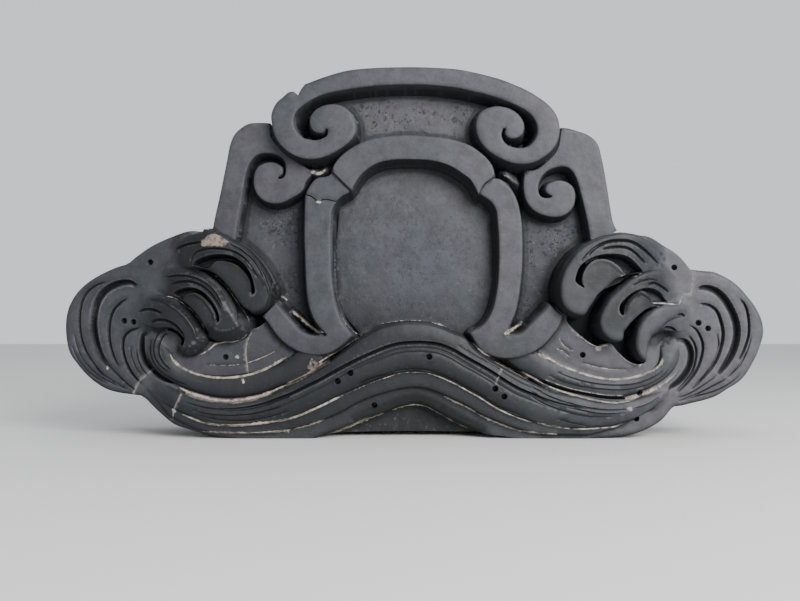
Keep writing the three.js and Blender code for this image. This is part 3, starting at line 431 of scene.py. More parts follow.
# Fine lines of the streams and of the pools under the heads, with the face that each lies on.
FINE_LINES = [
    ([(97.9, 46), (110.1, 41.6), (122.2, 38.6), (136.4, 37.1), (150.6, 37.9), (162.7, 41.6), (172.8, 48.2)],
     "wing_stream"),
    ([(91.8, 44.1), (102, 39.6), (113.1, 36.6), (127.3, 34.5), (142.5, 33.8), (156.6, 36), (168.8, 41.6),
      (177.9, 50.2)], "wing_stream"),
    ([(115.1, 52.7), (123.2, 50.2), (134.4, 48.2), (146.5, 48)], "lobe"),
    ([(99.9, 68.9), (103, 64.4), (108.6, 60.8)], "lobe"),
    ([(98.9, 61.8), (103, 60.3), (106.2, 56.8)], "lobe"),
    ([(-144.4, 51.4), (-135.3, 50.8), (-125.1, 51), (-115, 52.6), (-102.9, 57.1), (-92.8, 62.3)], "lobe"),
    ([(79.7, 37.1), (91.8, 30), (110.1, 23.7), (130.3, 20.1), (150.6, 20.9)], "main_stream"),
    ([(79.7, 33.5), (91.8, 26.1), (110.1, 20.9), (128.3, 17.6), (145.5, 17.8)], "main_stream"),
    ([(79.7, 30), (89.8, 24.1), (105, 18.7), (120.2, 15.6), (136.4, 15.3)], "main_stream"),
    ([(97.9, 13.8), (107, 11.4), (119.2, 8.7)], "main_stream"),
    ([(150.6, 20.9), (160.7, 23.7), (170.8, 29)], "main_stream"),
    ([(-159.6, 25.9), (-147.4, 22.4), (-133.2, 20.4), (-118.1, 20.4), (-102.9, 23.4), (-85.9, 29.5)],
     "main_stream"),
    ([(-153.5, 19.9), (-141.3, 17.3), (-128.2, 16.3), (-113, 17.3), (-98.8, 20.4), (-85.9, 24.4)],
     "main_stream"),
    ([(-148.4, 15.8), (-133.2, 13.3), (-118.1, 12.8), (-102.9, 14.8), (-85.9, 19.4)], "main_stream"),
]
# The dish in the middle of the right wing's whirl.
EYE_DISH = [(168.6, 70), (171.4, 68.2), (173.6, 65.6)]

# Mortar and pale dirt, and packed earth: points, width and strength, all drawn on the wave plane.
MORTAR = [
    ([(-143, 115.6), (-136.8, 112), (-130.6, 106), (-125.6, 99.4), (-120.4, 92.2), (-116.4, 86.4), (-114, 82),
      (-113.2, 77.6)], 0.5, 0.6),
    ([(-173.7, 98.8), (-165.6, 97.2), (-160.5, 94), (-155.4, 90.4), (-150.3, 85), (-146.2, 79),
      (-143.6, 73)], 0.45, 0.55),
    ([(86, 42.6), (92.6, 39.9), (102.7, 36.2), (112.6, 33.6), (122.5, 31.7), (132.5, 30.3),
      (145.6, 29.8)], 0.5, 0.8),
    ([(144.5, 27), (148, 28.2), (151, 29.4), (154, 30.4)], 2.2, 0.85),
    ([(-150, 58), (-146, 58.8), (-141.5, 61.6), (-137, 65.2), (-131.2, 66.6), (-125.1, 66.9), (-119.1, 68.9),
      (-114.2, 73.4)], 0.6, 0.75),
    ([(113.1, 71.6), (120.2, 66.2), (126.3, 63.6), (131, 64.6), (134.6, 65)], 0.6, 0.6),
    ([(140.4, 59), (146.5, 53.6), (152.6, 51.2), (158, 51.8)], 0.6, 0.75),
    ([(-169.2, 61.3), (-168.9, 59.8), (-166.5, 55.1), (-161.6, 50.2), (-153.5, 46), (-143.4, 43.3),
      (-130.2, 42.3), (-116, 43.9), (-102.9, 48.2), (-92.8, 53.7), (-85.9, 58.3)], 1.1, 1.0),
    ([(-166, 37.9), (-156.5, 33), (-147.4, 29.7), (-137.3, 27.3), (-125.1, 26.6), (-113, 28), (-100.9, 31.7),
      (-85.9, 38.3), (-72, 44)], 1.1, 0.8),
    ([(-163.6, 18.9), (-153.5, 14.8), (-143.4, 11.3), (-133.2, 9.8), (-118.1, 9.8), (-102.9, 11.3),
      (-85.9, 14.3), (-74, 18.6), (-65, 22.6), (-55.8, 27.2), (-46.6, 31.4)], 1.1, 0.95),
    ([(-55.8, 27.4), (-46.6, 31.4), (-37.3, 35.6), (-28, 39.4), (-18.8, 42.6), (-9.5, 45.4), (0, 46),
      (8.6, 45.4), (17.8, 42.6), (27, 38.5)], 0.55, 0.55),
    ([(20, 41.6), (27, 38.5), (36.3, 33.4), (45.5, 28.3), (54.8, 22.3), (64, 17.8), (73, 14.2), (82.5, 11.2)],
     0.8, 0.85),
    ([(-150.5, 6.2), (-133.2, 4.9), (-113, 4.5), (-92.8, 5.7), (-80, 8), (-68, 11.4), (-58, 15)], 1.0, 0.7),
    ([(17, 31.4), (27, 26.5), (36.3, 22), (45.5, 16.5), (54.8, 12.4), (64, 8.8), (73, 6)], 0.75, 0.8),
    ([(-63, 2.2), (-55.8, 4.5), (-46.6, 8.2), (-37.3, 12.4), (-28, 15.6), (-18.8, 18.8)], 1.0, 0.85),
    ([(-20, 18.4), (-10.5, 22.2), (-4.9, 23.4), (0, 24.2), (6.7, 23.2), (13.2, 19.8), (22.4, 14.7),
      (31.7, 10.1), (40.9, 5.9), (46, 3.8)], 0.55, 0.7),
    ([(-36, 71), (-44, 66.3), (-53, 60.3), (-61, 55.8), (-67.5, 51.8)], 0.6, 0.7),
    ([(-52, 90), (-49, 83), (-45, 77), (-41, 73.5), (-36.5, 71.5)], 0.5, 0.65),
    ([(37, 68.4), (41.4, 63.8), (46.9, 59.4), (53.6, 54.8), (61.2, 50.6), (70, 45.8), (79.7, 41)], 1.1, 1.0),
    ([(61.3, 71.7), (65.7, 75), (71.2, 78.3), (74.4, 81.6)], 1.6, 0.85),
    ([(-83.9, 87.1), (-80, 85), (-76.3, 82.7), (-70.8, 77.2), (-65, 73.6), (-60.9, 72.3)], 1.4, 0.95),
    ([(-28, 78), (-18.8, 80.2), (-9.5, 81.4), (0, 81.6), (8.6, 81), (17.8, 78.6), (27, 74.6)], 0.45, 0.5),
    ([(171.3, 60.8), (170.8, 55.3), (167.8, 50.2), (161.7, 46.2), (152.6, 43.1), (140.4, 41.3), (128.3, 42.1),
      (116.1, 45.1), (105, 49.2), (92.9, 55.3), (84.8, 60.8)], 1.1, 1.0),
    ([(183, 51.7), (179.4, 45.1), (173.8, 40.1), (165.7, 35), (154.6, 30), (144.5, 26.2), (136.4, 25.2),
      (128.3, 26.2), (110.1, 30.3), (94.9, 35.3), (79.7, 43.4), (68, 50)], 1.0, 0.9),
    ([(79.7, 12.6), (94.9, 9), (110.1, 7.3), (125.3, 7.7), (138.4, 9), (143.5, 11)], 0.9, 0.8),
    ([(70, 6.6), (84, 4.4), (98, 3.6)], 0.9, 0.6),
    ([(-93.8, 99.8), (-89, 96.6), (-84.5, 91), (-80, 85.5), (-75.3, 80), (-69.7, 75.4),
      (-64, 72.6)], 0.8, 0.8),
    ([(143, 112.4), (148, 112.6), (153, 112.6)], 1.1, 0.9),
    ([(164.5, 93.8), (172, 93.4), (180.5, 92.8)], 0.8, 0.85),
    ([(125.4, 62.2), (127.4, 62.2)], 2.0, 0.9),
    ([(-122.8, 56.6), (-121.6, 56.6)], 1.9, 1.0),
    ([(-118.6, 40.4), (-117.8, 39.4)], 1.6, 1.0),
    ([(-166, 20.2), (-165, 19.4)], 2.0, 0.9),
    ([(-212, 49.6), (-211, 48.8)], 1.5, 0.7),
    ([(145.6, 21.8), (148.6, 21)], 2.0, 0.6),
    ([(55, 34.8), (57, 39)], 0.9, 0.5),
    ([(-71, 185), (-67, 183.6), (-62, 185.6)], 2.4, 0.62),
    ([(62.5, 182.5), (66, 180.5)], 1.0, 0.6),
    ([(-67.2, 164), (-66, 163.6)], 1.3, 0.8),
    ([(-47, 70.6), (-44, 69)], 1.0, 0.6),
]
EARTH = [
    ([(-71, 54), (-67.5, 52.6), (-64, 52)], 3.0, 0.42),
    ([(-73, 50), (-70, 49), (-67, 50)], 2.6, 0.5),
    ([(-57, 54.3), (-63, 51.2), (-70, 46.8), (-78, 42), (-90, 36.6)], 1.7, 0.85),
    ([(-148, 134.8), (-143, 137.2), (-138, 139.4), (-133, 136.8), (-129, 134)], 3.4, 0.8),
    ([(-146, 134.6), (-140, 135), (-133, 134.4)], 3.0, 0.72),
    ([(-160, 33.4), (-149.8, 30), (-139.6, 27.2), (-129.4, 26.2), (-117.3, 27), (-107.2, 29.3), (-96, 33)],
     2.6, 0.75),
    ([(86, 58.5), (95, 53.5), (106, 48.6)], 1.6, 0.5),
    ([(142.7, 26.4), (150, 28), (158, 31.2), (166, 35.4)], 1.9, 0.7),
    ([(128, 65.2), (132, 64.4), (136, 62)], 1.2, 0.6),
    ([(108, 75), (111, 72.6), (114, 70)], 1.4, 0.5),
]
# Healed cracks, and the depth of the face that they cross.
CRACKS = [
    ([(-111.6, 75), (-115, 67.4), (-116, 60.3), (-115.3, 52.2), (-114.3, 45.7)], 75),
    ([(-179.8, 48.2), (-188.9, 40), (-193.3, 31.5)], 75),
    ([(-160.4, 31), (-164, 24), (-166.7, 12.8)], 80),
    ([(193.5, 116.6), (192, 107), (191, 101), (186, 100), (184, 95), (182, 92)], 75),
    ([(60, 48), (56, 38)], 82),
]
# Open cracks, and the ends of the scrolls' channels: points, width, depth, face and drawing plane.
OPEN_CUTS = [
    ([(-75.5, 168.8), (-72.6, 168.2), (-70, 166.6), (-67.6, 164.4)], 0.9, 1.3, "bar", WAVE_PLANE),
    ([(-65.4, 165), (-61.5, 165.6), (-58, 165), (-54.2, 164)], 0.8, 1.2, "bar", WAVE_PLANE),
    ([(-66, 208.8), (-63.5, 209.4), (-61.6, 210.8), (-60.6, 214.2)], 1.6, 9.0, "cap", CAP_PLANE),
    ([(66, 205.5), (62.6, 207.6), (61.3, 210.6), (62.2, 214.6)], 1.6, 9.0, "cap", CAP_PLANE),
    ([(-90.2, 187.5), (-90.1, 184), (-91.2, 181), (-94.2, 179.8)], 1.5, 6.0, "shoulder", CAP_PLANE),
    ([(88, 171.5), (88.8, 168.8), (91, 167), (94.8, 167.3)], 1.5, 6.0, "shoulder", CAP_PLANE),
]
# Mortar left standing where the cap, the arch and a bar meet.
MORTAR_LUMPS = [
    [(-71.5, 186.6), (-66, 185.4), (-61.5, 187.6), (-61.8, 183.5), (-67, 181.3), (-72.5, 183)],
    [(60.5, 184.5), (64, 185.5), (69, 181), (72, 176.5), (68, 176.5), (63.5, 180.6)],
]
# Painted shade: the inner faces that the heads close round, the right dish, the ground by the right heads.
TONGUES = [
    ([(-137, 116), (-129, 112), (-121, 104), (-115, 95)], 9.0, 1.0),
    ([(-158, 95), (-150, 93), (-144, 87), (-139, 77)], 8.0, 1.0),
    ([(-160, 67), (-155, 63), (-151, 64)], 6.0, 0.8),
    ([(119, 104), (126, 112), (134, 114), (142, 112)], 8.0, 0.7),
    ([(147, 85), (152, 92), (158, 95), (165, 95)], 6.0, 0.8),
    ([(136, 74), (140, 86), (148, 98), (160, 107), (176, 109)], 9.0, 0.9),
    ([(168, 66), (171.5, 70), (176, 71)], 7.0, 0.9),
    ([(94, 94), (94, 106), (97, 116), (102, 124.5), (109, 131.5)], 9.0, 1.3),
]
# Deep gaps between the heads and the pools that lie before them.
GAPS = [
    [(105, 84), (105.5, 80.5), (113.1, 72.4), (120.2, 66.9), (126.3, 64.2), (131, 65.4), (134.9, 65.9),
     (140.4, 59.8), (146.5, 54.4), (152.6, 51.8), (158.6, 52.6), (158, 62), (157, 80), (164, 90.5),
     (160, 100), (153, 112.5), (142, 108), (128, 102), (115, 96), (107, 90)],
    [(-117, 90), (-106, 92), (-97.5, 91), (-99.6, 84.5), (-104, 79.6), (-109, 76.6), (-113, 76.2),
     (-116, 82)],
    [(-139, 72), (-128, 71), (-118, 74), (-116, 71.5), (-124, 67.6), (-134, 67), (-141, 67.2), (-143, 69)],
]
# The open slit along the right part of the band, with painted shade inside.
RIGHT_SLIT = [(86, 40.6), (91.9, 38.1), (102.1, 34.5), (112.2, 32), (122.3, 30), (132.4, 28.5), (145.6, 27.8)]
# Dark cut edges along the foot of the main stream, and the bevel under the lowest one, which also gets painted
# shade.
MAIN_EDGE = [(-40, 37), (-31.2, 41.6), (-20, 44.8), (-9.2, 47.4), (0, 48.2), (8.6, 47.4), (17.2, 44.6),
             (27, 40.4), (36.3, 35.3), (45.5, 30.2), (54.8, 24.2), (64, 19.6), (76, 15)]
LOW_BEVEL = [(-44, 12.6), (-36, 16.2), (-28, 19.2), (-18.8, 22.4), (-9.5, 26), (0, 27.6), (8, 26), (15, 22.4),
             (24, 17.2), (33, 12.4), (42, 8.6), (50, 5.6)]
# Gaps packed with mortar almost to the faces beside them.
PACKED = [
    ([(37, 68.4), (41.4, 63.8), (46.9, 59.4), (53.6, 54.8), (61.2, 50.6), (70, 45.8), (79.7, 41)], 2.2, 1.0),
    ([(-36, 71), (-44, 66.3), (-53, 60.3), (-61, 55.8), (-67.5, 51.8)], 1.8, 0.7),
    ([(-71, 54), (-67.5, 52.6), (-64, 52)], 3.2, 0.3),
    ([(-86, 90), (-80.5, 85), (-75.5, 80.5), (-70.8, 77.2), (-65, 73.6), (-61.5, 72.6)], 2.6, 1.6),
    ([(62, 72.6), (65.7, 75), (71.2, 78.3), (74.4, 81.6)], 2.4, 1.4),
]
# Share of the width that keeps the whole front inside the solid's box.
TRIM = 0.9991
# The step along cuts, as a share of the step along the other edges.
FINE = 0.8

# Half of the outline of the open hollow in the back.
HOLLOW_HALF = [(0, 24), (70, 24), (150, 27), (190, 47), (219, 72), (201, 97), (162, 120), (126, 125),
               (117, 148), (111, 188), (94, 195), (76, 219), (40, 229), (0, 233)]


def carried(points, plane, depth):
    """Drawn points moved along their lines of sight to a depth."""
    k = (EYE_DEPTH - depth) / (EYE_DEPTH - plane)
    eye = np.array((EYE_X, EYE_Z))
    return eye + (np.asarray(points, float) - eye) * k


def evenly(points, step):
    """The same line with its points a step apart."""
    hops = np.hypot(*np.diff(points, axis=0).T)
    along = np.concatenate(([0.0], np.cumsum(hops)))
    count = max(2, int(round(along[-1] / step)) + 1)
    at = np.linspace(0.0, along[-1], count)
    return np.column_stack([np.interp(at, along, points[:, i]) for i in (0, 1)])


def smooth(points, step, closed=False):
    """A smooth line through drawn points, as a centripetal spline."""
    p = np.asarray(points, float)
    if len(p) == 2:
        return evenly(p, step)
    if closed:
        p = np.vstack((p[-1], p, p[0], p[1]))
    else:
        p = np.vstack((2 * p[0] - p[1], p, 2 * p[-1] - p[-2]))
    knots = np.concatenate(([0.0], np.cumsum(np.sqrt(np.maximum(np.hypot(*np.diff(p, axis=0).T), 1e-6)))))
    out = []
    for i in range(1, len(p) - 2):
        t = np.linspace(knots[i], knots[i + 1], 12, endpoint=False)[:, None]
        k0, k1, k2, k3 = knots[i - 1:i + 3]
        a1 = (k1 - t) / (k1 - k0) * p[i - 1] + (t - k0) / (k1 - k0) * p[i]
        a2 = (k2 - t) / (k2 - k1) * p[i] + (t - k1) / (k2 - k1) * p[i + 1]
        a3 = (k3 - t) / (k3 - k2) * p[i + 1] + (t - k2) / (k3 - k2) * p[i + 2]
        b1 = (k2 - t) / (k2 - k0) * a1 + (t - k0) / (k2 - k0) * a2
        b2 = (k3 - t) / (k3 - k1) * a2 + (t - k1) / (k3 - k1) * a3
        out.append((k2 - t) / (k2 - k1) * b1 + (t - k1) / (k2 - k1) * b2)
    out.append(p[-2][None] if not closed else p[1][None])
    return evenly(np.vstack(out), step)


def joined(runs, step):
    """One closed outline from smooth runs, each (points, plane, depth)."""
    parts = [smooth(carried(points, plane, depth), step) for points, plane, depth in runs]
    line = np.vstack(parts)
    gap = np.hypot(*(line - np.roll(line, 1, axis=0)).T)
    line = line[gap > 0.3 * step]
    following = np.roll(line, -1, axis=0)
    out = []
    for a, b in zip(line, following):
        out.append(a)
        hops = int(np.hypot(*(b - a)) // (1.5 * step))
        out.extend(a + (b - a) * (n + 1) / (hops + 1) for n in range(hops))
    return np.array(out)


def measured(xz, line, closed, reach):
    """For points near a line: which they are, distance, share of the length, and side (negative inside)."""
    low, high = line.min(0) - reach, line.max(0) + reach
    near = np.flatnonzero(((xz >= low) & (xz <= high)).all(axis=1))
    a = line
    b = np.roll(line, -1, axis=0)
    if not closed:
        a, b = a[:-1], b[:-1]
    ab = b - a
    squared = np.maximum((ab**2).sum(1), 1e-12)
    lengths = np.sqrt(squared)
    starts = np.concatenate(([0.0], np.cumsum(lengths)[:-1]))
    total = lengths.sum()
    gap = np.empty(len(near))
    share = np.empty(len(near))
    side = np.empty(len(near))
    for first in range(0, len(near), 4000):
        some = slice(first, first + 4000)
        p = xz[near[some]]
        px, pz = p[:, :1] - a[:, 0], p[:, 1:] - a[:, 1]
        t = np.clip((px * ab[:, 0] + pz * ab[:, 1]) / squared, 0.0, 1.0)
        dx, dz = px - t * ab[:, 0], pz - t * ab[:, 1]
        d2 = dx * dx + dz * dz
        best = d2.argmin(1)
        row = np.arange(len(p))
        gap[some] = np.sqrt(d2[row, best])
        share[some] = (starts[best] + t[row, best] * lengths[best]) / total
        if closed:
            above = (a[:, 1] > p[:, 1:]) != (b[:, 1] > p[:, 1:])
            with np.errstate(divide="ignore", invalid="ignore"):
                cross = p[:, :1] < a[:, 0] + ab[:, 0] * (p[:, 1:] - a[:, 1]) / ab[:, 1]
            inside = (above & cross).sum(1) % 2 == 1
            side[some] = np.where(inside, -1.0, 1.0)
        else:
            side[some] = np.sign(ab[best, 0] * pz[row, best] - ab[best, 1] * px[row, best])
    return near, gap, share, side


def beside(line, closed, offset):
    """The pieces of a line drawn beside another, at an offset to the right of its run."""
    ahead = np.roll(line, -1, axis=0) - np.roll(line, 1, axis=0)
    if not closed:
        ahead[0], ahead[-1] = line[1] - line[0], line[-1] - line[-2]
    ahead /= np.maximum(np.hypot(*ahead.T), 1e-9)[:, None]
    offset = np.broadcast_to(offset, len(line))
    moved = line + np.column_stack((ahead[:, 1], -ahead[:, 0])) * offset[:, None]
    _, gap, _, _ = measured(moved, line, closed, 1e6)
    good = gap > np.abs(offset) * 0.97 - 1e-6
    if closed:
        moved, good = np.vstack((moved, moved[:1])), np.append(good, good[0])
    pieces, run = [], []
    for point, ok in zip(moved, good):
        if ok:
            run.append(point)
        elif run:
            pieces.append(np.array(run))
            run = []
    if run:
        pieces.append(np.array(run))
    return [piece for piece in pieces if len(piece) > 1]


def turned_left(line):
    """A closed line that runs anticlockwise."""
    x, z = line.T
    area = (x * np.roll(z, -1) - np.roll(x, -1) * z).sum()
    return line if area > 0 else line[::-1]


def softly_higher(a, b, fillet):
    """The higher of two faces, with the corner between them filled a little."""
    gap = np.abs(a - b)
    return np.maximum(a, b) + np.where(gap < fillet, (fillet - gap) ** 2 / (4 * fillet), 0.0)


class Carving:
    """The carved front while it is worked: its points, their depths and the kind of face that each lies on."""

    def __init__(self, xz, level):
        self.xz = xz
        self.h = np.full(len(xz), float(level))
        self.kind = np.full(len(xz), GROUND_FACE)


class Layer:
    """A raised part with a rounded edge and drafted walls. Its face can fall away, a flank can slope off."""

    def __init__(self, line, face, kind, edge=1.0, draft=0.16, fillet=0.7, crown=0.0, crown_width=8.0,
                 wall=14.0, falls=(), flank=None):
        self.line = turned_left(line)
        self.face, self.kind, self.edge, self.draft, self.fillet = face, kind, edge, draft, fillet
        self.crown, self.crown_width, self.wall, self.falls, self.flank = crown, crown_width, wall, falls, flank

    def rings(self):
        offsets = [-self.edge, -0.4 * self.edge, 0.0, 0.5 * self.draft * self.wall, self.draft * self.wall]
        if self.crown:
            offsets.append(-0.5 * self.crown_width)
        found = []
        for offset in offsets:
            found.extend(beside(self.line, True, offset))
        if self.flank:
            line, width, _ = self.flank
            found.extend(beside(line, False, width) + beside(line, False, -width))
        return found

    def shape(self, work):
        near, gap, _, side = measured(work.xz, self.line, True, 6.0 + 60.0 * self.draft)
        here = work.xz[near]
        out = gap * side
        sunk = np.zeros(len(near))
        fall = np.zeros(len(near))
        for high, low, deep in self.falls:
            way = low - high
            share = np.clip(((here - high) @ way) / (way @ way), 0.0, 1.4)
            fall += deep * share**1.6
            sunk = np.maximum(sunk, np.clip(2.0 * share - 0.7, 0.0, 1.0))
        t = np.clip((out + self.edge) / self.edge, 0.0, 1.0)
        drop = self.edge * (1.0 - np.sqrt(1.0 - t * t)) * (1.0 - sunk) + fall
        drop += np.maximum(out, 0.0) / (self.draft + 1.6 * sunk)
        drop += self.crown * np.clip(1.0 + out / self.crown_width, 0.0, 1.0) ** 2
        if self.flank:
            line, width, deep = self.flank
            _, away, _, _ = measured(here, line, False, 1e6)
            drop += deep * np.clip(1.0 - away / width, 0.0, 1.0) * (1.0 - sunk)
        level = self.face - drop
        work.kind[near[level > work.h[near]]] = self.kind
        work.h[near] = softly_higher(work.h[near], level, self.fillet + 3.0 * sunk)


class Gouge:
    """A line cut with a gouge, or raised where its depth is negative. It thins towards its ends."""

    def __init__(self, line, width, depth, lean=0.0, taper=(0.3, 0.3)):
        self.line, self.width, self.depth, self.lean, self.taper = line, width, depth, lean, taper

    def swell(self, share):
        start = np.clip(share / max(self.taper[0], 1e-6), 0.0, 1.0)
        end = np.clip((1.0 - share) / max(self.taper[1], 1e-6), 0.0, 1.0)
        return np.sqrt(start * (2 - start)) * np.sqrt(end * (2 - end))

    def half(self, share):
        return 0.5 * self.width * (0.35 + 0.65 * self.swell(share))

    def rings(self):
        hops = np.hypot(*np.diff(self.line, axis=0).T)
        share = np.concatenate(([0.0], np.cumsum(hops))) / hops.sum()
        sides = (-1.0, self.lean, 1.0)
        if self.width > 1.9:
            sides = (-1.0, 0.5 * (self.lean - 1.0), self.lean, 0.5 * (self.lean + 1.0), 1.0)
        return [piece for side in sides for piece in beside(self.line, False, -side * self.half(share))]

    def shape(self, work):
        near, gap, share, side = measured(work.xz, self.line, False, 0.5 * self.width + 0.2)
        q = gap * side / self.half(share)
        away = np.where(q > self.lean, (q - self.lean) / (1.0 - self.lean), (self.lean - q) / (1.0 + self.lean))
        cut = np.clip(1.0 - away, 0.0, 1.0)
        work.h[near] -= self.depth * self.swell(share) * (cut * (2.0 - cut) * 0.5 + cut * 0.5)


class Hollow:
    """A cut down inside a closed outline, with a rounded bottom edge."""

    def __init__(self, line, face, depth, wall=1.6):
        self.line, self.face, self.depth, self.wall = turned_left(line), face, depth, wall

    def rings(self):
        found = []
        for offset in (0.0, -0.4 * self.wall, -self.wall):
            found.extend(beside(self.line, True, offset))
        return found

    def shape(self, work):
        near, gap, _, side = measured(work.xz, self.line, True, 0.1)
        into = np.clip(-gap * side / self.wall, 0.0, 1.0)
        cut = self.face - self.depth * (1.0 - (1.0 - into) ** 2)
        work.h[near] = np.where(side < 0, np.minimum(work.h[near], cut), work.h[near])


class Pinhole:
    """A hole pressed in with an awl, with the clay pushed up a little round it."""

    def __init__(self, at, radius=1.9, depth=6.0):
        self.at, self.radius, self.depth = at, radius, depth

    def rings(self):
        turn = np.linspace(0, 2 * math.pi, 13)
        ring = np.column_stack((np.cos(turn), np.sin(turn)))
        return [self.at + ring * self.radius * share for share in (1.5, 1.12, 0.8, 0.4)]

    def shape(self, work):
        away = np.hypot(*(work.xz - self.at).T) / self.radius
        work.h -= self.depth * np.clip((1.12 - away) / 0.3, 0.0, 1.0)
        work.h += 0.25 * np.exp(-(((away - 1.4) / 0.3) ** 2))


class Deposit:
    """Mortar, earth or a crack along a line. It only gives the mesh points to carry its crisp edge."""

    def __init__(self, points, width, depth):
        self.line, self.width = smooth(carried(points, WAVE_PLANE, depth), 1.2), width

    def rings(self):
        sides = np.array((-0.9, -0.3, 0.3, 0.9)) * self.width
        return [piece for side in sides for piece in beside(self.line, False, side)]

    def shape(self, work):
        return


def layer(runs, plane, face, kind, step, flank=None, falls=(), **more):
    """A layer from drawn runs. A run may state its own depth; a fall is two drawn points and a drop."""
    depth = FACE[face]
    placed = [(run[0], plane, run[1]) if isinstance(run, tuple) else (run, plane, depth) for run in runs]
    falls = [(*carried([high, low], plane, depth), drop) for high, low, drop in falls]
    if flank:
        run, width, drop = flank
        flank = (smooth(carried(run[0], plane, run[1]), step), width, drop)
    return Layer(joined(placed, step), depth, kind, flank=flank, falls=falls, **more)


def tile_outline(step):
    """The outer edge of the tile, anticlockwise from the right foot."""
    x = np.linspace(-BASE_RELIEF_HALF, BASE_RELIEF_HALF, 13)
    relief = np.column_stack((x, BASE_RELIEF * np.sqrt(np.maximum(0.0, 1 - (x / BASE_RELIEF_HALF) ** 2))))
    lobe, top, cap, shoulder = FACE["lobe"], WAVE_PLANE, FACE["cap"], FACE["shoulder"]
    runs = [
        (RIGHT_TOE, WAVE_PLANE, lobe), (RIGHT_LOBE, WAVE_PLANE, lobe), (RIGHT_WING_TOP, WAVE_PLANE, top),
        (RIGHT_SHOULDER_RIM[::-1], CAP_PLANE, shoulder), (CAP_TOP, CAP_PLANE, cap), (CAP_NOTCH, CAP_PLANE, cap),
        (CAP_ARM, CAP_PLANE, cap), (LEFT_SHOULDER_RIM[::-1], CAP_PLANE, shoulder),
        (LEFT_WING_TOP, WAVE_PLANE, top), (LEFT_LOBE, WAVE_PLANE, lobe), (LEFT_TOE, WAVE_PLANE, lobe),
    ]
    line = [smooth(carried(points, plane, depth), step) for points, plane, depth in runs]
    foot = np.array([(BASE_RELIEF_HALF + 2, 0), (120, 0)], float)
    line = np.vstack([*line, evenly(foot[::-1] * (-1, 1), step), evenly(relief, step), evenly(foot, step)])
    line[:, 0] *= TRIM
    line[:, 1] = np.maximum(line[:, 1], 0.0)
    keep = np.hypot(*(line - np.roll(line, 1, axis=0)).T) > 0.35 * step
    return turned_left(line[keep])


# Kinds of face. What is said of each kind below is listed in this order.
GROUND_FACE, TABLET_FACE, PANEL_FACE, FRAME_FACE, WAVE_FACE, STREAM_FACE, HEAD_FACE = range(7)

# The way that the light comes, for the painted shade on faces turned away from it, and the bluish haze on the
# tablet.
LIGHT_FROM = (0.23, 0.61, 0.76)
HAZE_MIDDLE, HAZE_REACH = (4.0, 120.0), 26.0


def drawn_finely(step, points, plane, depth, closed=False):
    """A smooth line at a depth, for a cut or a small part. A closed one doesn't repeat its first point."""
    line = smooth(carried(points, plane, depth), FINE * step, closed)
    return line[:-1] if closed else line


def cut(step, points, width, depth, lean=0.0, face="lobe", plane=WAVE_PLANE, **more):
    """A line gouged into a face."""
    return Gouge(drawn_finely(step, points, plane, FACE[face]), width, depth, lean, **more)


def head(step, runs, face, width, drop, high, low, wall):
    """A curling head whose flank is so wide and drops so far, and whose tail falls away from high to low."""
    outer, deep = (runs[0], FACE[face] - drop), FACE[face] - FACE["lobe"] + 0.6
    return layer([outer, *runs[1:]], WAVE_PLANE, face, HEAD_FACE, step, edge=0.8, wall=wall, draft=0.07,
                 crown=0.5, crown_width=5.0, falls=[(high, low, deep)], flank=(outer, width, drop))


def field_features(step):
    """The sunk tablet, the panel over it and the shoulder strips."""
    return [
        layer(TABLET, CAP_PLANE, "tablet", TABLET_FACE, step, wall=3.5, crown=0.6, crown_width=26.0),
        layer(PANEL, CAP_PLANE, "panel", PANEL_FACE, step, wall=8),
        layer(LEFT_SHOULDER, CAP_PLANE, "shoulder", FRAME_FACE, step, edge=0.8),
        layer(RIGHT_SHOULDER, CAP_PLANE, "shoulder", FRAME_FACE, step, edge=0.8),
    ]


def wave_features(step):
    """The wings, the streams and what is gouged into them."""
    wave = WAVE_PLANE
    stream = {"kind": STREAM_FACE, "step": step}
    band = {**stream, "edge": 1.2, "wall": 12, "draft": 0.1}
    wing = {**stream, "edge": 1.4, "wall": 5, "crown": 1.8, "crown_width": 7.0}
    found = [
        layer(WING_SHEET, wave, "lobe", WAVE_FACE, step, edge=2.2, wall=13),
        layer(MID_STREAM, wave, "mid_stream", falls=[(*end, 4.6) for end in BAND_ENDS], **band),
        layer(MAIN_STREAM, wave, "main_stream", falls=[(*end, 8.6) for end in BAND_ENDS], crown=2.0,
              crown_width=9.0, **band),
        layer(LEFT_STREAM, wave, "wing_stream", falls=[((-172, 50), (-186, 70), 4.2)], **wing),
        layer(RIGHT_STREAM, wave, "wing_stream", falls=[((171, 54), (177, 71), 5.0)], **wing),
        cut(step, BAND_GROOVE, 2.8, 2.8, 0.4, "main_stream"),
    ]
    found += [cut(step, points, width, depth, lean) for points, width, depth, lean in LOBE_LINES]
    for first, last, offset in BESIDE_GROOVE:
        between = drawn_finely(step, BAND_GROOVE[first:last], wave, FACE["main_stream"])
        found += [Gouge(line, 1.2, 0.4) for line in beside(between, False, offset)]
    found += [cut(step, points, 1.3, 0.75, 0.0, face) for points, face in FINE_LINES]
    lobe = FACE["lobe"]
    found += [Hollow(drawn_finely(step, gap, wave, lobe, closed=True), lobe, 13.5, wall=1.2) for gap in GAPS]
    return found + [
        cut(step, RIGHT_SLIT, 2.0, 3.4, 0.0, "mid_stream", taper=(0.2, 0.06)),
        cut(step, MAIN_EDGE, 1.8, 1.5, 0.0, "main_stream"),
        cut(step, LOW_BEVEL, 6.4, 2.8, -0.75, "low_stream", taper=(0.35, 0.35)),
    ]


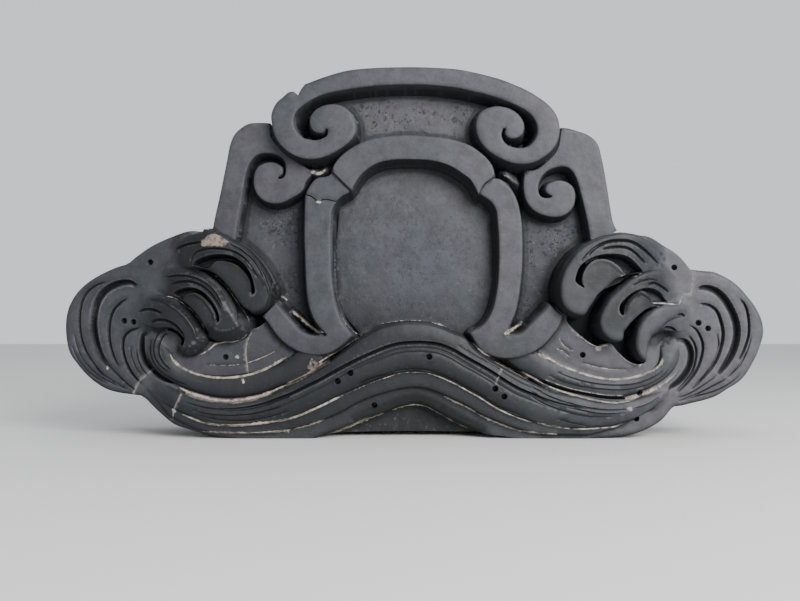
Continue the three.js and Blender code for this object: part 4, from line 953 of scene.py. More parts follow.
def head_features(step):
    """The six curling heads with their hollows, lines and ridges, and the dish beside the lowest right one."""
    found = [
        head(step, LEFT_LOW_HEAD, "low_head", 6.5, 5.5, (-163, 86), (-196, 87), 10),
        head(step, LEFT_MID_HEAD, "mid_head", 8.5, 7.5, (-148, 106), (-179, 108), 12),
        layer([LEFT_TOP_HEAD[0], (LEFT_TOP_HEAD[1], INNER_EDGE), *LEFT_TOP_HEAD[2:]], WAVE_PLANE, "top_head",
              HEAD_FACE, step, edge=1.3, wall=20, draft=0.06, crown=0.7, crown_width=5.0,
              falls=[((-138, 130), (-173, 126), 18.6)]),
        head(step, RIGHT_LOW_HEAD, "low_head", 1.8, 1.0, (164, 84), (193, 83), 24),
        head(step, RIGHT_MID_HEAD, "mid_head", 1.4, 0.7, (154, 106), (184, 105), 28),
        head(step, RIGHT_TOP_HEAD, "top_head", 1.4, 0.7, (146, 130), (178, 123), 33),
    ]
    for outer, inner, face, depth in CREST_HOLLOWS:
        runs = [(outer, WAVE_PLANE, FACE[face]), (inner, WAVE_PLANE, FACE[face])]
        found.append(Hollow(joined(runs, FINE * step), FACE[face], depth))
    found += [cut(step, points, width, depth, 0.0, face) for points, width, depth, face in CREST_LINES]
    found += [cut(step, points, width, -height, 0.0, face) for points, width, height, face in RIDGE_LINES]
    return found + [cut(step, EYE_DISH, 12.0, 3.0, taper=(0.15, 0.15))]


def frame_features(step):
    """The cap, the bars and the arch, with the mortar left between them."""
    top = FACE["shoulder"]
    lumps = [drawn_finely(step, lump, WAVE_PLANE, top, closed=True) for lump in MORTAR_LUMPS]
    return [
        layer(CAP, CAP_PLANE, "cap", FRAME_FACE, step, edge=0.8, wall=20, crown=0.4, crown_width=5.0),
        *(Layer(lump, top, FRAME_FACE, edge=1.6, draft=0.5, crown=0.6, crown_width=3.0) for lump in lumps),
        layer(LEFT_BAR, WAVE_PLANE, "bar", FRAME_FACE, step, edge=0.8, wall=18),
        layer(RIGHT_BAR, WAVE_PLANE, "bar", FRAME_FACE, step, edge=0.8, wall=18),
        layer(ARCH, CAP_PLANE, "arch", FRAME_FACE, step, edge=0.8, wall=18),
    ]


def age_features(step):
    """The edges of mortar and dirt, the healed cracks and the open ones."""
    found = [Deposit(points, width, DIRT) for points, width, _ in MORTAR + EARTH if len(points) > 3]
    found += [Gouge(smooth(carried(points, WAVE_PLANE, depth), 1.0), 0.9, 0.35, taper=(0.1, 0.1))
              for points, depth in CRACKS]
    return found + [cut(step, points, width, depth, 0.0, face, plane, taper=(0.1, 0.25))
                    for points, width, depth, face, plane in OPEN_CUTS]


def front_features(step):
    """Every part and cut of the carved front, from the lowest to the highest, and the awl holes."""
    makers = (field_features, wave_features, head_features, frame_features, age_features)
    parts = [feature for maker in makers for feature in maker(step)]
    return parts, [Pinhole(np.array(place, float)) for place in PINHOLES]


def relief_sheet(outline, features, spacing, keep_off):
    """Points and triangles that follow an outline and the edges of the features."""
    points = [outline]
    edges = [np.column_stack((np.arange(len(outline)), np.roll(np.arange(len(outline)), -1)))]
    count = len(outline)
    lines = [ring for f in features for ring in f.rings()]
    everything = np.vstack(lines)
    _, gap, _, side = measured(everything, outline, True, 1e6)
    inside = (side < 0) & (gap > keep_off)
    at = 0
    for line in lines:
        good = inside[at:at + len(line)]
        at += len(line)
        number = np.full(len(line), -1)
        number[good] = count + np.arange(good.sum())
        points.append(line[good])
        count += int(good.sum())
        pair = np.column_stack((number[:-1], number[1:]))
        edges.append(pair[(pair >= 0).all(1)])
    placed = np.vstack(points)
    low, high = placed.min(0), placed.max(0)
    xs = np.arange(low[0], high[0], spacing)
    zs = np.arange(low[1], high[1], spacing * 0.866)
    fill = np.array([(x + (0.5 * spacing if i % 2 else 0.0), z) for i, z in enumerate(zs) for x in xs])
    _, gap, _, side = measured(fill, outline, True, 1e6)
    fill = fill[(side < 0) & (gap > 0.6 * spacing)]
    tree = kdtree.KDTree(len(placed))
    for i, p in enumerate(placed):
        tree.insert((p[0], p[1], 0.0), i)
    tree.balance()
    clear = [tree.find((p[0], p[1], 0.0))[2] > 0.62 * spacing for p in fill]
    placed = np.vstack((placed, fill[np.array(clear)]))
    made = geometry.delaunay_2d_cdt([Vector(p) for p in placed], np.vstack(edges).tolist(), [], 0, 1e-4)
    xz = np.array([tuple(p) for p in made[0]])
    faces = np.array([tuple(f) for f in made[2]])
    middle = xz[faces].mean(1)
    _, _, _, side = measured(middle, outline, True, 1e6)
    faces = faces[side < 0]
    used = np.unique(faces)
    renumber = np.full(len(xz), -1)
    renumber[used] = np.arange(len(used))
    return xz[used], renumber[faces]


def averaged(values, faces, turns):
    """Values spread over the mesh by averaging each point with its neighbours, a number of times."""
    a = np.concatenate((faces[:, 0], faces[:, 1], faces[:, 2]))
    b = np.concatenate((faces[:, 1], faces[:, 2], faces[:, 0]))
    size = len(values)
    number = np.bincount(a, minlength=size) + np.bincount(b, minlength=size) + 1.0
    for _ in range(turns):
        total = values + np.bincount(a, values[b], size) + np.bincount(b, values[a], size)
        values = total / number
    return values


def marked(drawn, marks):
    """How strongly drawn points lie on marks, each (points, width, strength)."""
    value = np.zeros(len(drawn))
    for points, width, strength in marks:
        near, gap, share, _ = measured(drawn, smooth(points, 1.0), False, width)
        fade = np.clip(1.6 * (1.0 - gap / width), 0.0, 1.0)
        ends = np.clip(12.0 * np.minimum(share, 1.0 - share), 0.0, 1.0) if len(points) > 3 else 1.0
        value[near] = np.maximum(value[near], strength * fade * ends)
    return value


def smooth_noise(xz, cell, seed):
    """Gentle unevenness from -1 to 1, the same every time."""
    grid = np.random.RandomState(seed).uniform(-1.0, 1.0, (128, 128))
    p = xz / cell + 50.0
    cellwise = np.floor(p).astype(int)
    f = p - cellwise
    f = f * f * (3.0 - 2.0 * f)
    i, j = cellwise[:, 0] % 128, cellwise[:, 1] % 128
    i2, j2 = (i + 1) % 128, (j + 1) % 128
    low = grid[i, j] * (1 - f[:, 0]) + grid[i2, j] * f[:, 0]
    high = grid[i, j2] * (1 - f[:, 0]) + grid[i2, j2] * f[:, 0]
    return low * (1 - f[:, 1]) + high * f[:, 1]


class TileSizes(bpy.types.PropertyGroup):
    """Sizes of the carved tile that a user may change."""

    grain_step: FloatProperty(
        name="Carving step", description="Distance between points along the carved edges", default=0.0014,
        min=0.0008, unit="LENGTH")
    open_step: FloatProperty(
        name="Open step", description="Distance between points on open faces", default=0.0018, min=0.001,
        unit="LENGTH")
    back_step: FloatProperty(
        name="Back step", description="Distance between points on the plain back", default=0.004, min=0.002,
        unit="LENGTH")
    back_edge: FloatProperty(
        name="Back edge", description="Width of the worn bevel round the back", default=0.0008, min=0.0002,
        unit="LENGTH")


class TileColours(bpy.types.PropertyGroup):
    """Colours of the smoked clay and what lies on it."""

    clay: FloatVectorProperty(
        name="Clay", description="Smoked clay", subtype="COLOR", default=(0.0455, 0.043, 0.0515))
    bloom: FloatVectorProperty(
        name="Bloom", description="Bluish bloom of the smoke", subtype="COLOR",
        default=(0.0335, 0.0365, 0.0445))
    moss: FloatVectorProperty(
        name="Green tinge", description="Greenish tinge of weathered clay", subtype="COLOR",
        default=(0.026, 0.0325, 0.0335))
    haze: FloatVectorProperty(
        name="Haze", description="Blue haze on the tablet", subtype="COLOR", default=(0.031, 0.036, 0.053))
    # Lighter clay: on the panel, and painted light low on the right wing and high on the tablet.
    lightened: FloatVectorProperty(
        name="Lightened clay", description="Clay that rain has washed", subtype="COLOR",
        default=(0.085, 0.077, 0.086))
    # Smoke and painted shade: darker clay to the left, on the streams, heads and band, and in the shaded
    # places.
    dark: FloatVectorProperty(
        name="Dark clay", description="Denser smoke in the waves", subtype="COLOR",
        default=(0.0055, 0.007, 0.0085))
    smudge: FloatVectorProperty(
        name="Smudges", description="Darker mottling", subtype="COLOR", default=(0.0115, 0.012, 0.0145))
    pale: FloatVectorProperty(
        name="Pale mottling", description="Paler mottling", subtype="COLOR", default=(0.078, 0.075, 0.086))
    specks: FloatVectorProperty(
        name="Specks", description="Grains of sand in the clay", subtype="COLOR", default=(0.13, 0.13, 0.125))
    pits: FloatVectorProperty(
        name="Pits", description="Small pits", subtype="COLOR", default=(0.011, 0.0085, 0.010))
    # Painted shade in recesses and deep hollows.
    recess_shade: FloatVectorProperty(
        name="Recess shade", description="Grime in deep places", subtype="COLOR", default=(0.006, 0.007, 0.008))
    dust: FloatVectorProperty(
        name="Dust", description="Dust in the hollows", subtype="COLOR", default=(0.22, 0.21, 0.19))
    worn: FloatVectorProperty(
        name="Worn edges", description="Edges rubbed bare", subtype="COLOR", default=(0.15, 0.15, 0.16))
    # Painted shade on faces turned away from the light, in deep carved gaps and in the slit.
    shade_colour: FloatVectorProperty(
        name="Painted shade", description="Soot where rain doesn't reach", subtype="COLOR",
        default=(0.005, 0.0062, 0.0075))
    mortar: FloatVectorProperty(
        name="Mortar", description="Pale mortar and dirt in the grooves", subtype="COLOR",
        default=(0.36, 0.32, 0.255))
    earth: FloatVectorProperty(
        name="Earth", description="Pinkish earth packed under the streams", subtype="COLOR",
        default=(0.21, 0.168, 0.138))
    seam: FloatVectorProperty(
        name="Seams", description="Pale filling of the healed cracks", subtype="COLOR",
        default=(0.24, 0.23, 0.21))


def ramp(values, start, width):
    """A share that grows from 0 at the start to 1 over a width, which is negative for one that falls."""
    return np.clip((values - start) / width, 0.0, 1.0)


def as_drawn(work):
    """Where the points of the front lie on the drawing of the waves."""
    eye = np.array((EYE_X, EYE_Z))
    scale = (EYE_DEPTH - WAVE_PLANE) / (EYE_DEPTH - work.h)
    return eye + (work.xz - eye) * scale[:, None]


def smoke_and_shade_mask(work, faces, drawn, shadowed):
    """Darker clay, partly smoke and partly painted shade: to the left, away from the light, on the streams and
    heads, on the band's middle, in the shaded places and on the bevel, and low on the tablet.
    """
    x, z = work.xz.T
    # Painted shade: darker to the left, away from the light.
    away_from_light = 0.8 - 0.38 * np.tanh(x / 90.0)
    pool = 0.62 * np.clip(away_from_light - 0.5, 0.0, 1.0) / away_from_light * (0.7 + 0.6 * ramp(z, 80.0, 40.0))
    low_tablet = 0.1 + 1.2 * ramp(z, 112.0, -40.0)
    right = ramp(x, 0.0, 40.0)
    # The heads are darker, the higher ones more, partly smoke and partly painted shade.
    high_head = np.clip((work.h - 73.0 - 5.0 * right) / 10.0, 0.3 - 0.18 * right, 1.0)
    smoke_and_shade = np.choose(work.kind, (0.15, low_tablet, 0.0, 0.08, pool, 0.8, 1.4 * high_head)) * away_from_light
    # Painted shade on the middle of the band, which gets little light.
    band = np.exp(-((x / 80.0) ** 2)) * ramp(z, 80.0, -20.0)
    return averaged(smoke_and_shade, faces, 3) + 1.1 * band + 0.8 * marked(drawn, TONGUES) + 0.9 * shadowed


def lightened_mask(work, faces):
    """How much lighter the clay is: on the panel, and as painted light low on the right wing, nearest the
    light, and high on the tablet.
    """
    x, z = work.xz.T
    low_right = ramp(x, 120.0, 50.0) * (0.55 + 0.45 * ramp(z, 80.0, -40.0))
    high_tablet = 0.3 * ramp(z, 130.0, 40.0)
    return averaged(np.choose(work.kind, (0.0, high_tablet, 0.85, 0.0, low_right, 0.0, 0.0)), faces, 3)


def painted_shade_mask(work, faces, carved, slit):
    """Painted shade: on faces turned away from the light, on the deep floors among the carved waves such as the
    gaps between the heads, and in the slit.
    """
    corners = np.column_stack((work.xz, work.h))[faces]
    facing = np.cross(corners[:, 1] - corners[:, 0], corners[:, 2] - corners[:, 0])
    facing *= np.sign(facing[:, 2:]) / np.maximum(np.linalg.norm(facing, axis=1), 1e-9)[:, None]
    turned_away = ramp(facing @ LIGHT_FROM, 0.42, -0.5)
    painted_shade = np.zeros(len(work.h))
    for corner in range(3):
        np.maximum.at(painted_shade, faces[:, corner], turned_away)
    painted_shade *= 1.0 - 0.15 * ramp(work.xz[:, 1], 224.0, 6.0)
    gaps = ramp(work.h, 70.0, -6.0) * np.clip(2.0 * carved - 0.8, 0.0, 1.0)
    return averaged(np.maximum.reduce((painted_shade, gaps, slit)), faces, 1)


def tile_mesh(sizes):
    """The carved front as points, depths, triangles and masks for smoke, painted shade and light, wear and
    dirt.
    """
    coarse = 1.0
    step = 1000 * sizes.grain_step * coarse
    parts, holes = front_features(step)
    xz, faces = relief_sheet(tile_outline(1.5 * step), parts + holes, 1000 * sizes.open_step * coarse, 0.45)
    work = Carving(xz, GROUND)
    for part in parts:
        part.shape(work)
    uneven = smooth_noise(xz, 9.0, 3) + 0.5 * smooth_noise(xz, 3.5, 5)
    rough = averaged(np.choose(work.kind, (1.0, 0.3, 0.85, 0.05, 0.0, 0.0, 0.0)), faces, 2)
    carved = averaged((work.kind >= WAVE_FACE).astype(float), faces, 6)
    work.h += uneven * (0.10 + 0.18 * rough) - 0.15

    drawn = as_drawn(work)
    patchy = 0.86 + 0.3 * smooth_noise(xz, 6.0, 9) + 0.12 * smooth_noise(xz, 1.8, 10)
    scratches = [(points, 0.5, 0.62) for points, face in FINE_LINES if face == "lobe"]
    mortar, earth = marked(drawn, MORTAR + scratches) * patchy, marked(drawn, EARTH) * patchy
    work.h += 0.5 * np.maximum(mortar, earth)
    packed = np.minimum(work.h + 5.0 * marked(drawn, PACKED), DIRT)
    work.h = np.maximum(work.h, packed)
    dish = marked(drawn, [(EYE_DISH, 8.0, 1.0)])
    work.h += dish * (averaged(work.h, faces, 14) - work.h)

    # The bevel under the lowest stream gets painted shade and no worn edges; the slit gets painted shade.
    slit, shadowed = marked(drawn, [(RIGHT_SLIT, 1.0, 1.0)]), marked(drawn, [(LOW_BEVEL, 5.5, 1.0)])
    next_to, near, wide = (averaged(work.h, faces, turns) for turns in (1, 3, 24))
    # How far a point lies under the wide average, for the dust and the painted shade in the hollows.
    hollows = np.clip((wide - work.h) / 5.0, 0.0, 1.0) * (0.15 + 0.3 * carved)
    from_middle = (xz - HAZE_MIDDLE) / HAZE_REACH
    masks = {
        "smoke_and_shade": smoke_and_shade_mask(work, faces, drawn, shadowed),
        "rough_ground": rough,
        "painted_shade": painted_shade_mask(work, faces, carved, slit),
        "wear": np.clip((work.h - next_to - 0.1) / 0.55, 0.0, 1.0) * (1.0 - shadowed) * (1.0 - dish),
        "cavity": np.clip((near - work.h) / 0.6, 0.0, 1.0) * 0.6 + hollows,
        "mortar": mortar * (1.0 - slit),
        "earth": earth,
        "crack": marked(drawn, [(points, 0.55, 1.0) for points, _ in CRACKS]),
        "lightened": lightened_mask(work, faces),
        "haze": np.exp(-(from_middle**2).sum(1)) * (work.kind == TABLET_FACE),
    }
    for hole in holes:
        hole.shape(work)
    return xz, np.clip(work.h, DEEPEST, FULL_DEPTH), faces, masks


class TILE_OT_roof_end_tile(bpy.types.Operator):
    """Makes the carved tile"""

    bl_idname = "tile.roof_end_tile"
    bl_label = "Roof end tile"

    def execute(self, context):
        sizes = context.scene.tile_sizes
        xz, h, faces, masks = tile_mesh(sizes)
        mesh = bpy.data.meshes.new("carved_tile")
        bm = bmesh.new()
        layers = {name: bm.verts.layers.float.new(name) for name in masks}
        verts = [bm.verts.new((x / 1000, BACK_Y - d / 1000, z / 1000)) for (x, z), d in zip(xz, h)]
        for name, values in masks.items():
            for vert, value in zip(verts, values):
                vert[layers[name]] = float(value)
        for a, b, c in faces:
            bm.faces.new((verts[a], verts[b], verts[c]))
        close_back(bm, sizes, layers["smoke_and_shade"])
        bmesh.ops.recalc_face_normals(bm, faces=bm.faces[:])
        bm.to_mesh(mesh)
        bm.free()
        mesh.shade_smooth()
        mesh.set_sharp_from_angle(angle=math.radians(50))
        tile = bpy.data.objects.new("carved_tile", mesh)
        context.scene.collection.objects.link(tile)
        tile.data.materials.append(smoked_clay(context.scene.tile_colours))
        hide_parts(NODE)
        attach(tile, "root")
        return {"FINISHED"}


# Depths of the rings that a wall has on its way back, in metres, and how smoky the walls and the back are.
WALL_RINGS = (0.055, 0.030)
BACK_SMOKE = 0.25


def in_turn(edges):
    """The verts of a closed loop of edges, one after the other."""
    known, edge = set(edges), edges[0]
    loop = [edge.verts[0]]
    vert = edge.verts[1]
    while vert is not loop[0]:
        loop.append(vert)
        edge = next(e for e in vert.link_edges if e in known and e is not edge)
        vert = edge.other_vert(vert)
    return loop


def close_back(bm, sizes, smoke_and_shade):
    """Runs the walls back from the front's edge and closes them with the hollow back."""
    rim = [e for e in bm.edges if e.is_boundary]
    for depth, inset in (*((d, 0.0) for d in WALL_RINGS), (sizes.back_edge, 0.0), (0.0, sizes.back_edge)):
        grown = bmesh.ops.extrude_edge_only(bm, edges=rim)["geom"]
        verts = {g for g in grown if isinstance(g, bmesh.types.BMVert)}
        rim = [g for g in grown if isinstance(g, bmesh.types.BMEdge) and all(v in verts for v in g.verts)]
        loop = in_turn(rim)
        flat = np.array([(v.co.x, v.co.z) for v in loop])
        ahead = np.roll(flat, -3, axis=0) - np.roll(flat, 3, axis=0)
        ahead /= np.maximum(np.hypot(*ahead.T), 1e-9)[:, None]
        turn = 1.0 if (turned_left(flat) == flat).all() else -1.0
        moved = flat + np.column_stack((-ahead[:, 1], ahead[:, 0])) * inset * turn
        for vert, (x, z) in zip(loop, moved):
            vert.co = (x, BACK_Y - depth, z)
            vert[smoke_and_shade] = BACK_SMOKE
    half = np.array(HOLLOW_HALF, float)
    whole = np.vstack((half, (half * (-1, 1))[::-1][1:-1]))
    step = 1000 * sizes.back_step
    hollow = Hollow(smooth(whole, step, closed=True)[:-1], 0.0, HOLLOW, wall=3.0)
    rim_xz = np.array([(v.co.x * 1000, v.co.z * 1000) for v in loop])
    xz, faces = relief_sheet(rim_xz, [hollow], step, 0.8)
    work = Carving(xz, 0.0)
    hollow.shape(work)
    pressed = work.h < -0.97 * HOLLOW
    work.h += np.where(pressed, 0.5 * smooth_noise(xz, 26.0, 11) + 0.3 * smooth_noise(xz, 9.0, 12), 0.0)
    tree = kdtree.KDTree(len(loop))
    for i, vert in enumerate(loop):
        tree.insert((*rim_xz[i], 0.0), i)
    tree.balance()
    placed = []
    for (x, z), d in zip(xz, work.h):
        _, i, gap = tree.find((x, z, 0.0))
        if gap < 1e-3:
            placed.append(loop[i])
        else:
            placed.append(bm.verts.new((x / 1000, BACK_Y + d / 1000, z / 1000)))
            placed[-1][smoke_and_shade] = BACK_SMOKE
    for a, b, c in faces:
        bm.faces.new((placed[c], placed[b], placed[a]))


class Graph:
    """Adds nodes to a tree and links them. An input is a value or a socket to link from."""

    def __init__(self, tree):
        self.tree = tree

    def add(self, kind, inputs=None, **settings):
        node = self.tree.nodes.new(kind)
        node.location = (180 * (len(self.tree.nodes) % 12), -220 * (len(self.tree.nodes) // 12))
        for name, value in settings.items():
            setattr(node, name, value)
        for key, value in (inputs or {}).items():
            if isinstance(value, bpy.types.NodeSocket):
                self.tree.links.new(value, node.inputs[key])
            else:
                node.inputs[key].default_value = value
        return node

    def math(self, operation, a, b=0.0, c=0.0, clamp=False):
        node = self.add("ShaderNodeMath", {0: a, 1: b, 2: c}, operation=operation, use_clamp=clamp)
        return node.outputs[0]

    def noise(self, place, scale, detail=4.0, roughness=0.55):
        inputs = {"Vector": place, "Scale": scale, "Detail": detail, "Roughness": roughness}
        return self.add("ShaderNodeTexNoise", inputs).outputs["Fac"]

    def step(self, value, low, high, to_low=0.0, to_high=1.0):
        inputs = {"Value": value, "From Min": low, "From Max": high, "To Min": to_low, "To Max": to_high}
        return self.add("ShaderNodeMapRange", inputs, interpolation_type="SMOOTHSTEP").outputs["Result"]

    def mix(self, share, a, b):
        node = self.add("ShaderNodeMix", data_type="RGBA")
        for index, value in ((0, share), (6, a), (7, b)):
            if isinstance(value, bpy.types.NodeSocket):
                self.tree.links.new(value, node.inputs[index])
            else:
                node.inputs[index].default_value = value if index == 0 else (*value, 1.0)
        return node.outputs[2]


def effect_group(name, takes, gives):
    """An empty node group with float inputs, a vector input for the place, and float outputs."""
    tree = bpy.data.node_groups.new(name, "ShaderNodeTree")
    tree.interface.new_socket("Place", in_out="INPUT", socket_type="NodeSocketVector")
    for label in takes:
        tree.interface.new_socket(label, in_out="INPUT", socket_type="NodeSocketFloat")
    for label in gives:
        tree.interface.new_socket(label, in_out="OUTPUT", socket_type="NodeSocketFloat")
    graph = Graph(tree)
    return graph, graph.add("NodeGroupInput"), graph.add("NodeGroupOutput")


def worn_edges_group():
    """Edges rubbed lighter, in patches."""
    graph, enters, leaves = effect_group("worn edges", ["Wear"], ["Mask"])
    patch = graph.step(graph.noise(enters.outputs["Place"], 55.0), 0.35, 0.65, 0.25, 1.0)
    fine = graph.step(graph.noise(enters.outputs["Place"], 900.0, 2.0), 0.3, 0.7, 0.6, 1.0)
    worn = graph.step(enters.outputs["Wear"], 0.15, 0.8)
    worn = graph.math("MULTIPLY", worn, graph.math("MULTIPLY", patch, fine))
    graph.tree.links.new(worn, leaves.inputs["Mask"])
    return graph.tree


def dust_and_shade_group():
    """Dust that gathers in hollows, and painted shade in the deepest ones."""
    graph, enters, leaves = effect_group("dust and shade in hollows", ["Cavity"], ["Dust", "Recess shade"])
    patch = graph.step(graph.noise(enters.outputs["Place"], 38.0, 5.0, 0.65), 0.52, 0.74)
    dust = graph.math("MULTIPLY", graph.step(enters.outputs["Cavity"], 0.08, 0.5), patch)
    graph.tree.links.new(dust, leaves.inputs["Dust"])
    graph.tree.links.new(graph.step(enters.outputs["Cavity"], 0.1, 0.75), leaves.inputs["Recess shade"])
    return graph.tree


def clay_grain_group():
    """The mottling, grain and small pits of fired clay."""
    gives = ["Bloom", "Green", "Streak", "Grain", "Pits", "Specks", "Mottle"]
    graph, enters, leaves = effect_group("fired clay grain", ["Roughened"], gives)
    place = enters.outputs["Place"]
    graph.tree.links.new(graph.step(graph.noise(place, 24.0, 5.0, 0.6), 0.4, 0.62), leaves.inputs["Bloom"])
    graph.tree.links.new(graph.step(graph.noise(place, 13.0, 6.0, 0.68), 0.48, 0.66), leaves.inputs["Green"])
    stretched = graph.add("ShaderNodeMapping", {"Vector": place, "Scale": (1.0, 1.0, 0.22)}).outputs["Vector"]
    graph.tree.links.new(graph.noise(stretched, 130.0, 4.0, 0.6), leaves.inputs["Streak"])
    fine, coarse = graph.noise(place, 1500.0, 3.0, 0.6), graph.noise(place, 320.0, 5.0, 0.62)
    coarse_share = graph.math("MULTIPLY_ADD", enters.outputs["Roughened"], 1.1, 0.7)
    grain = graph.math("MULTIPLY_ADD", coarse, coarse_share, graph.math("MULTIPLY", fine, 0.3))
    spots = graph.step(graph.noise(place, 230.0, 4.0, 0.7), 0.545, 0.61)
    small = graph.step(graph.noise(place, 610.0, 3.0, 0.65), 0.59, 0.65)
    gathered = graph.step(graph.noise(place, 42.0, 2.0), 0.36, 0.54)
    amount = graph.math("MULTIPLY_ADD", enters.outputs["Roughened"], 0.95, 0.10)
    pits = graph.math("MULTIPLY", graph.math("MULTIPLY", graph.math("MAXIMUM", spots, small), gathered), amount)
    specks = graph.step(graph.noise(place, 341.0, 4.0, 0.7), 0.60, 0.67)
    specks = graph.math("MULTIPLY", specks, graph.math("MULTIPLY_ADD", enters.outputs["Roughened"], 0.7, 0.15))
    graph.tree.links.new(specks, leaves.inputs["Specks"])
    graph.tree.links.new(graph.step(graph.noise(place, 95.0, 6.0, 0.72), 0.34, 0.66), leaves.inputs["Mottle"])
    graph.tree.links.new(pits, leaves.inputs["Pits"])
    graph.tree.links.new(graph.math("MULTIPLY_ADD", pits, -0.9, grain), leaves.inputs["Grain"])
    return graph.tree


def smoked_clay(colours):
    """Smoked clay with bloom, worn edges, pits, dust, mortar and cracks."""
    material = bpy.data.materials.new("smoked_clay")
    material.use_nodes = True
    graph = Graph(material.node_tree)
    shader = material.node_tree.nodes["Principled BSDF"]
    place = graph.add("ShaderNodeTexCoord").outputs["Object"]

    def mask(name):
        return graph.add("ShaderNodeAttribute", attribute_name=name).outputs["Fac"]

    def group(tree, **inputs):
        node = graph.add("ShaderNodeGroup", {"Place": place, **inputs}, node_tree=tree)
        return {socket.name: socket for socket in node.outputs}

    def tinted(share, strength, other):
        return graph.mix(graph.math("MULTIPLY", share, strength), colour, tuple(other))

    smoke_and_shade, rough, shade_share = mask("smoke_and_shade"), mask("rough_ground"), mask("painted_shade")
    grain = group(clay_grain_group(), Roughened=rough)
    edges = group(worn_edges_group(), Wear=mask("wear"))
    hollows = group(dust_and_shade_group(), Cavity=mask("cavity"))

    colour = graph.mix(grain["Bloom"], tuple(colours.clay), tuple(colours.bloom))
    colour = tinted(grain["Green"], graph.math("MULTIPLY_ADD", smoke_and_shade, 0.5, 0.45), colours.moss)
    colour = tinted(mask("haze"), 0.6, colours.haze)
    # Lighter clay: on the panel, and painted light low on the right wing and high on the tablet.
    colour = tinted(mask("lightened"), 0.45, colours.lightened)
    uneven = graph.math("MULTIPLY_ADD", grain["Streak"], 0.5, 0.55)
    # Smoke and painted shade darken the clay.
    colour = tinted(graph.math("MULTIPLY", smoke_and_shade, uneven, clamp=True), 1.05, colours.dark)
    colour = tinted(graph.math("SUBTRACT", 1.0, grain["Mottle"]), 0.32, colours.smudge)
    clear = graph.math("MULTIPLY_ADD", graph.math("MINIMUM", smoke_and_shade, 1.0), -0.2, 0.22)
    colour = tinted(grain["Mottle"], clear, colours.pale)
    colour = tinted(grain["Specks"], 0.45, colours.specks)
    colour = tinted(grain["Pits"], 0.92, colours.pits)
    # Painted shade in recesses and deep hollows.
    colour = tinted(hollows["Recess shade"], 0.75, colours.recess_shade)
    colour = tinted(hollows["Dust"], 0.14, colours.dust)
    colour = tinted(edges["Mask"], 0.42, colours.worn)
    # Painted shade on faces turned away from the light, in deep carved gaps and in the slit.
    colour = tinted(shade_share, 0.92, colours.shade_colour)
    crumbs = graph.noise(place, 420.0, 4.0, 0.65)
    thin = graph.step(graph.noise(place, 190.0, 5.0, 0.75), 0.36, 0.62, 0.2, 1.0)
    broken = graph.step(graph.math("ADD", mask("earth"), graph.math("MULTIPLY", crumbs, 0.9)), 0.75, 1.0)
    colour = tinted(broken, thin, colours.earth)
    packed = graph.step(graph.math("ADD", mask("mortar"), graph.math("MULTIPLY", crumbs, 0.9)), 0.78, 1.02)
    colour = tinted(packed, thin, colours.mortar)
    seam = graph.math("MULTIPLY", mask("crack"), graph.step(crumbs, 0.3, 0.6, 0.35, 1.0))
    colour = tinted(seam, 0.8, colours.seam)

    gloss = graph.math("MULTIPLY_ADD", grain["Streak"], 0.10, 0.48)
    gloss = graph.math("MULTIPLY_ADD", rough, 0.15, gloss)
    gloss = graph.math("MAXIMUM", gloss, graph.math("MULTIPLY", shade_share, 0.95))
    gloss = graph.math("MAXIMUM", gloss, graph.math("MULTIPLY", graph.math("MAXIMUM", packed, broken), 0.9))
    height = graph.math("MULTIPLY_ADD", graph.math("MAXIMUM", packed, broken), crumbs, grain["Grain"])
    bump = graph.add("ShaderNodeBump", {"Strength": 0.35, "Distance": 0.0006, "Height": height})
    material.node_tree.links.new(colour, shader.inputs["Base Color"])
    material.node_tree.links.new(gloss, shader.inputs["Roughness"])
    material.node_tree.links.new(bump.outputs["Normal"], shader.inputs["Normal"])
    shader.inputs["Specular IOR Level"].default_value = 0.3
    return material


# The soft light from the upper right, and the camera where the photograph was taken from.
KEY_PLACE, KEY_AIM = (0.68, -1.12, 0.66), (0.0, 0.0, 0.1)
KEY_SIZE, KEY_ENERGY = 0.85, 39.0
SENSOR, FOCAL_PIXELS, PICTURE_PIXELS = 36.0, 850.0, 800.0
LOOK_UP = 2.0
FLOOR_HALF = 4.0


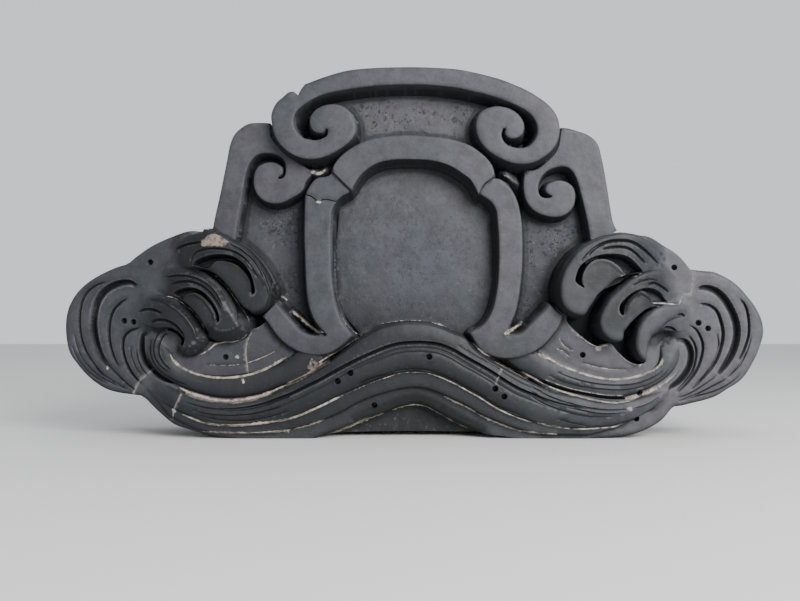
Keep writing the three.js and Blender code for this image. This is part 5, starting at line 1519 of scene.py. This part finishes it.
class TILE_OT_stage(bpy.types.Operator):
    """Lays the floor and sets the lights and the camera"""

    bl_idname = "tile.stage"
    bl_label = "Floor, lights and camera"

    def execute(self, context):
        scene = context.scene
        mesh = bpy.data.meshes.new("floor")
        bm = bmesh.new()
        bmesh.ops.create_grid(bm, x_segments=1, y_segments=1, size=FLOOR_HALF)
        bm.to_mesh(mesh)
        bm.free()
        floor = bpy.data.objects.new("floor", mesh)
        scene.collection.objects.link(floor)
        material = bpy.data.materials.new("pale_floor")
        material.use_nodes = True
        shader = material.node_tree.nodes["Principled BSDF"]
        shader.inputs["Base Color"].default_value = (0.62, 0.62, 0.6, 1.0)
        shader.inputs["Roughness"].default_value = 0.8
        mesh.materials.append(material)

        world = bpy.data.worlds.new("studio")
        world.use_nodes = True
        world.node_tree.nodes["Background"].inputs["Color"].default_value = (0.86, 0.88, 0.92, 1.0)
        world.node_tree.nodes["Background"].inputs["Strength"].default_value = 1.05
        scene.world = world

        lamp = bpy.data.lights.new("key", "AREA")
        lamp.shape = "DISK"
        lamp.size, lamp.energy = KEY_SIZE, KEY_ENERGY
        key = bpy.data.objects.new("key", lamp)
        key.location = KEY_PLACE
        toward = Vector(KEY_AIM) - key.location
        key.rotation_euler = toward.to_track_quat("-Z", "Y").to_euler()
        scene.collection.objects.link(key)

        camera_data = bpy.data.cameras.new("camera")
        camera_data.sensor_width = SENSOR
        camera_data.lens = FOCAL_PIXELS / PICTURE_PIXELS * SENSOR
        camera = bpy.data.objects.new("camera", camera_data)
        camera.location = (EYE_X / 1000, BACK_Y - EYE_DEPTH / 1000, EYE_Z / 1000)
        camera.rotation_euler = (math.radians(90.0 + LOOK_UP), 0.0, 0.0)
        scene.collection.objects.link(camera)
        scene.camera = camera
        return {"FINISHED"}


class TILE_PT_panel(bpy.types.Panel):
    """Lists the operators and their sizes"""

    bl_label = "Roof end tile"
    bl_space_type = "VIEW_3D"
    bl_region_type = "UI"
    bl_category = "Roof tile"

    def draw(self, context):
        layout = self.layout
        for group in (context.scene.tile_sizes, context.scene.tile_colours):
            for name in group.__annotations__:
                layout.prop(group, name)
        layout.operator("tile.roof_end_tile")
        layout.operator("tile.stage")


CLASSES = (TileSizes, TileColours, TILE_OT_roof_end_tile, TILE_OT_stage, TILE_PT_panel)


def register():
    for cls in CLASSES:
        bpy.utils.register_class(cls)
    bpy.types.Scene.tile_sizes = PointerProperty(type=TileSizes)
    bpy.types.Scene.tile_colours = PointerProperty(type=TileColours)


def unregister():
    del bpy.types.Scene.tile_colours
    del bpy.types.Scene.tile_sizes
    for cls in reversed(CLASSES):
        bpy.utils.unregister_class(cls)


def main():
    register()
    bpy.ops.tile.roof_end_tile()
    bpy.ops.tile.stage()


if __name__ == "__main__":
    main()
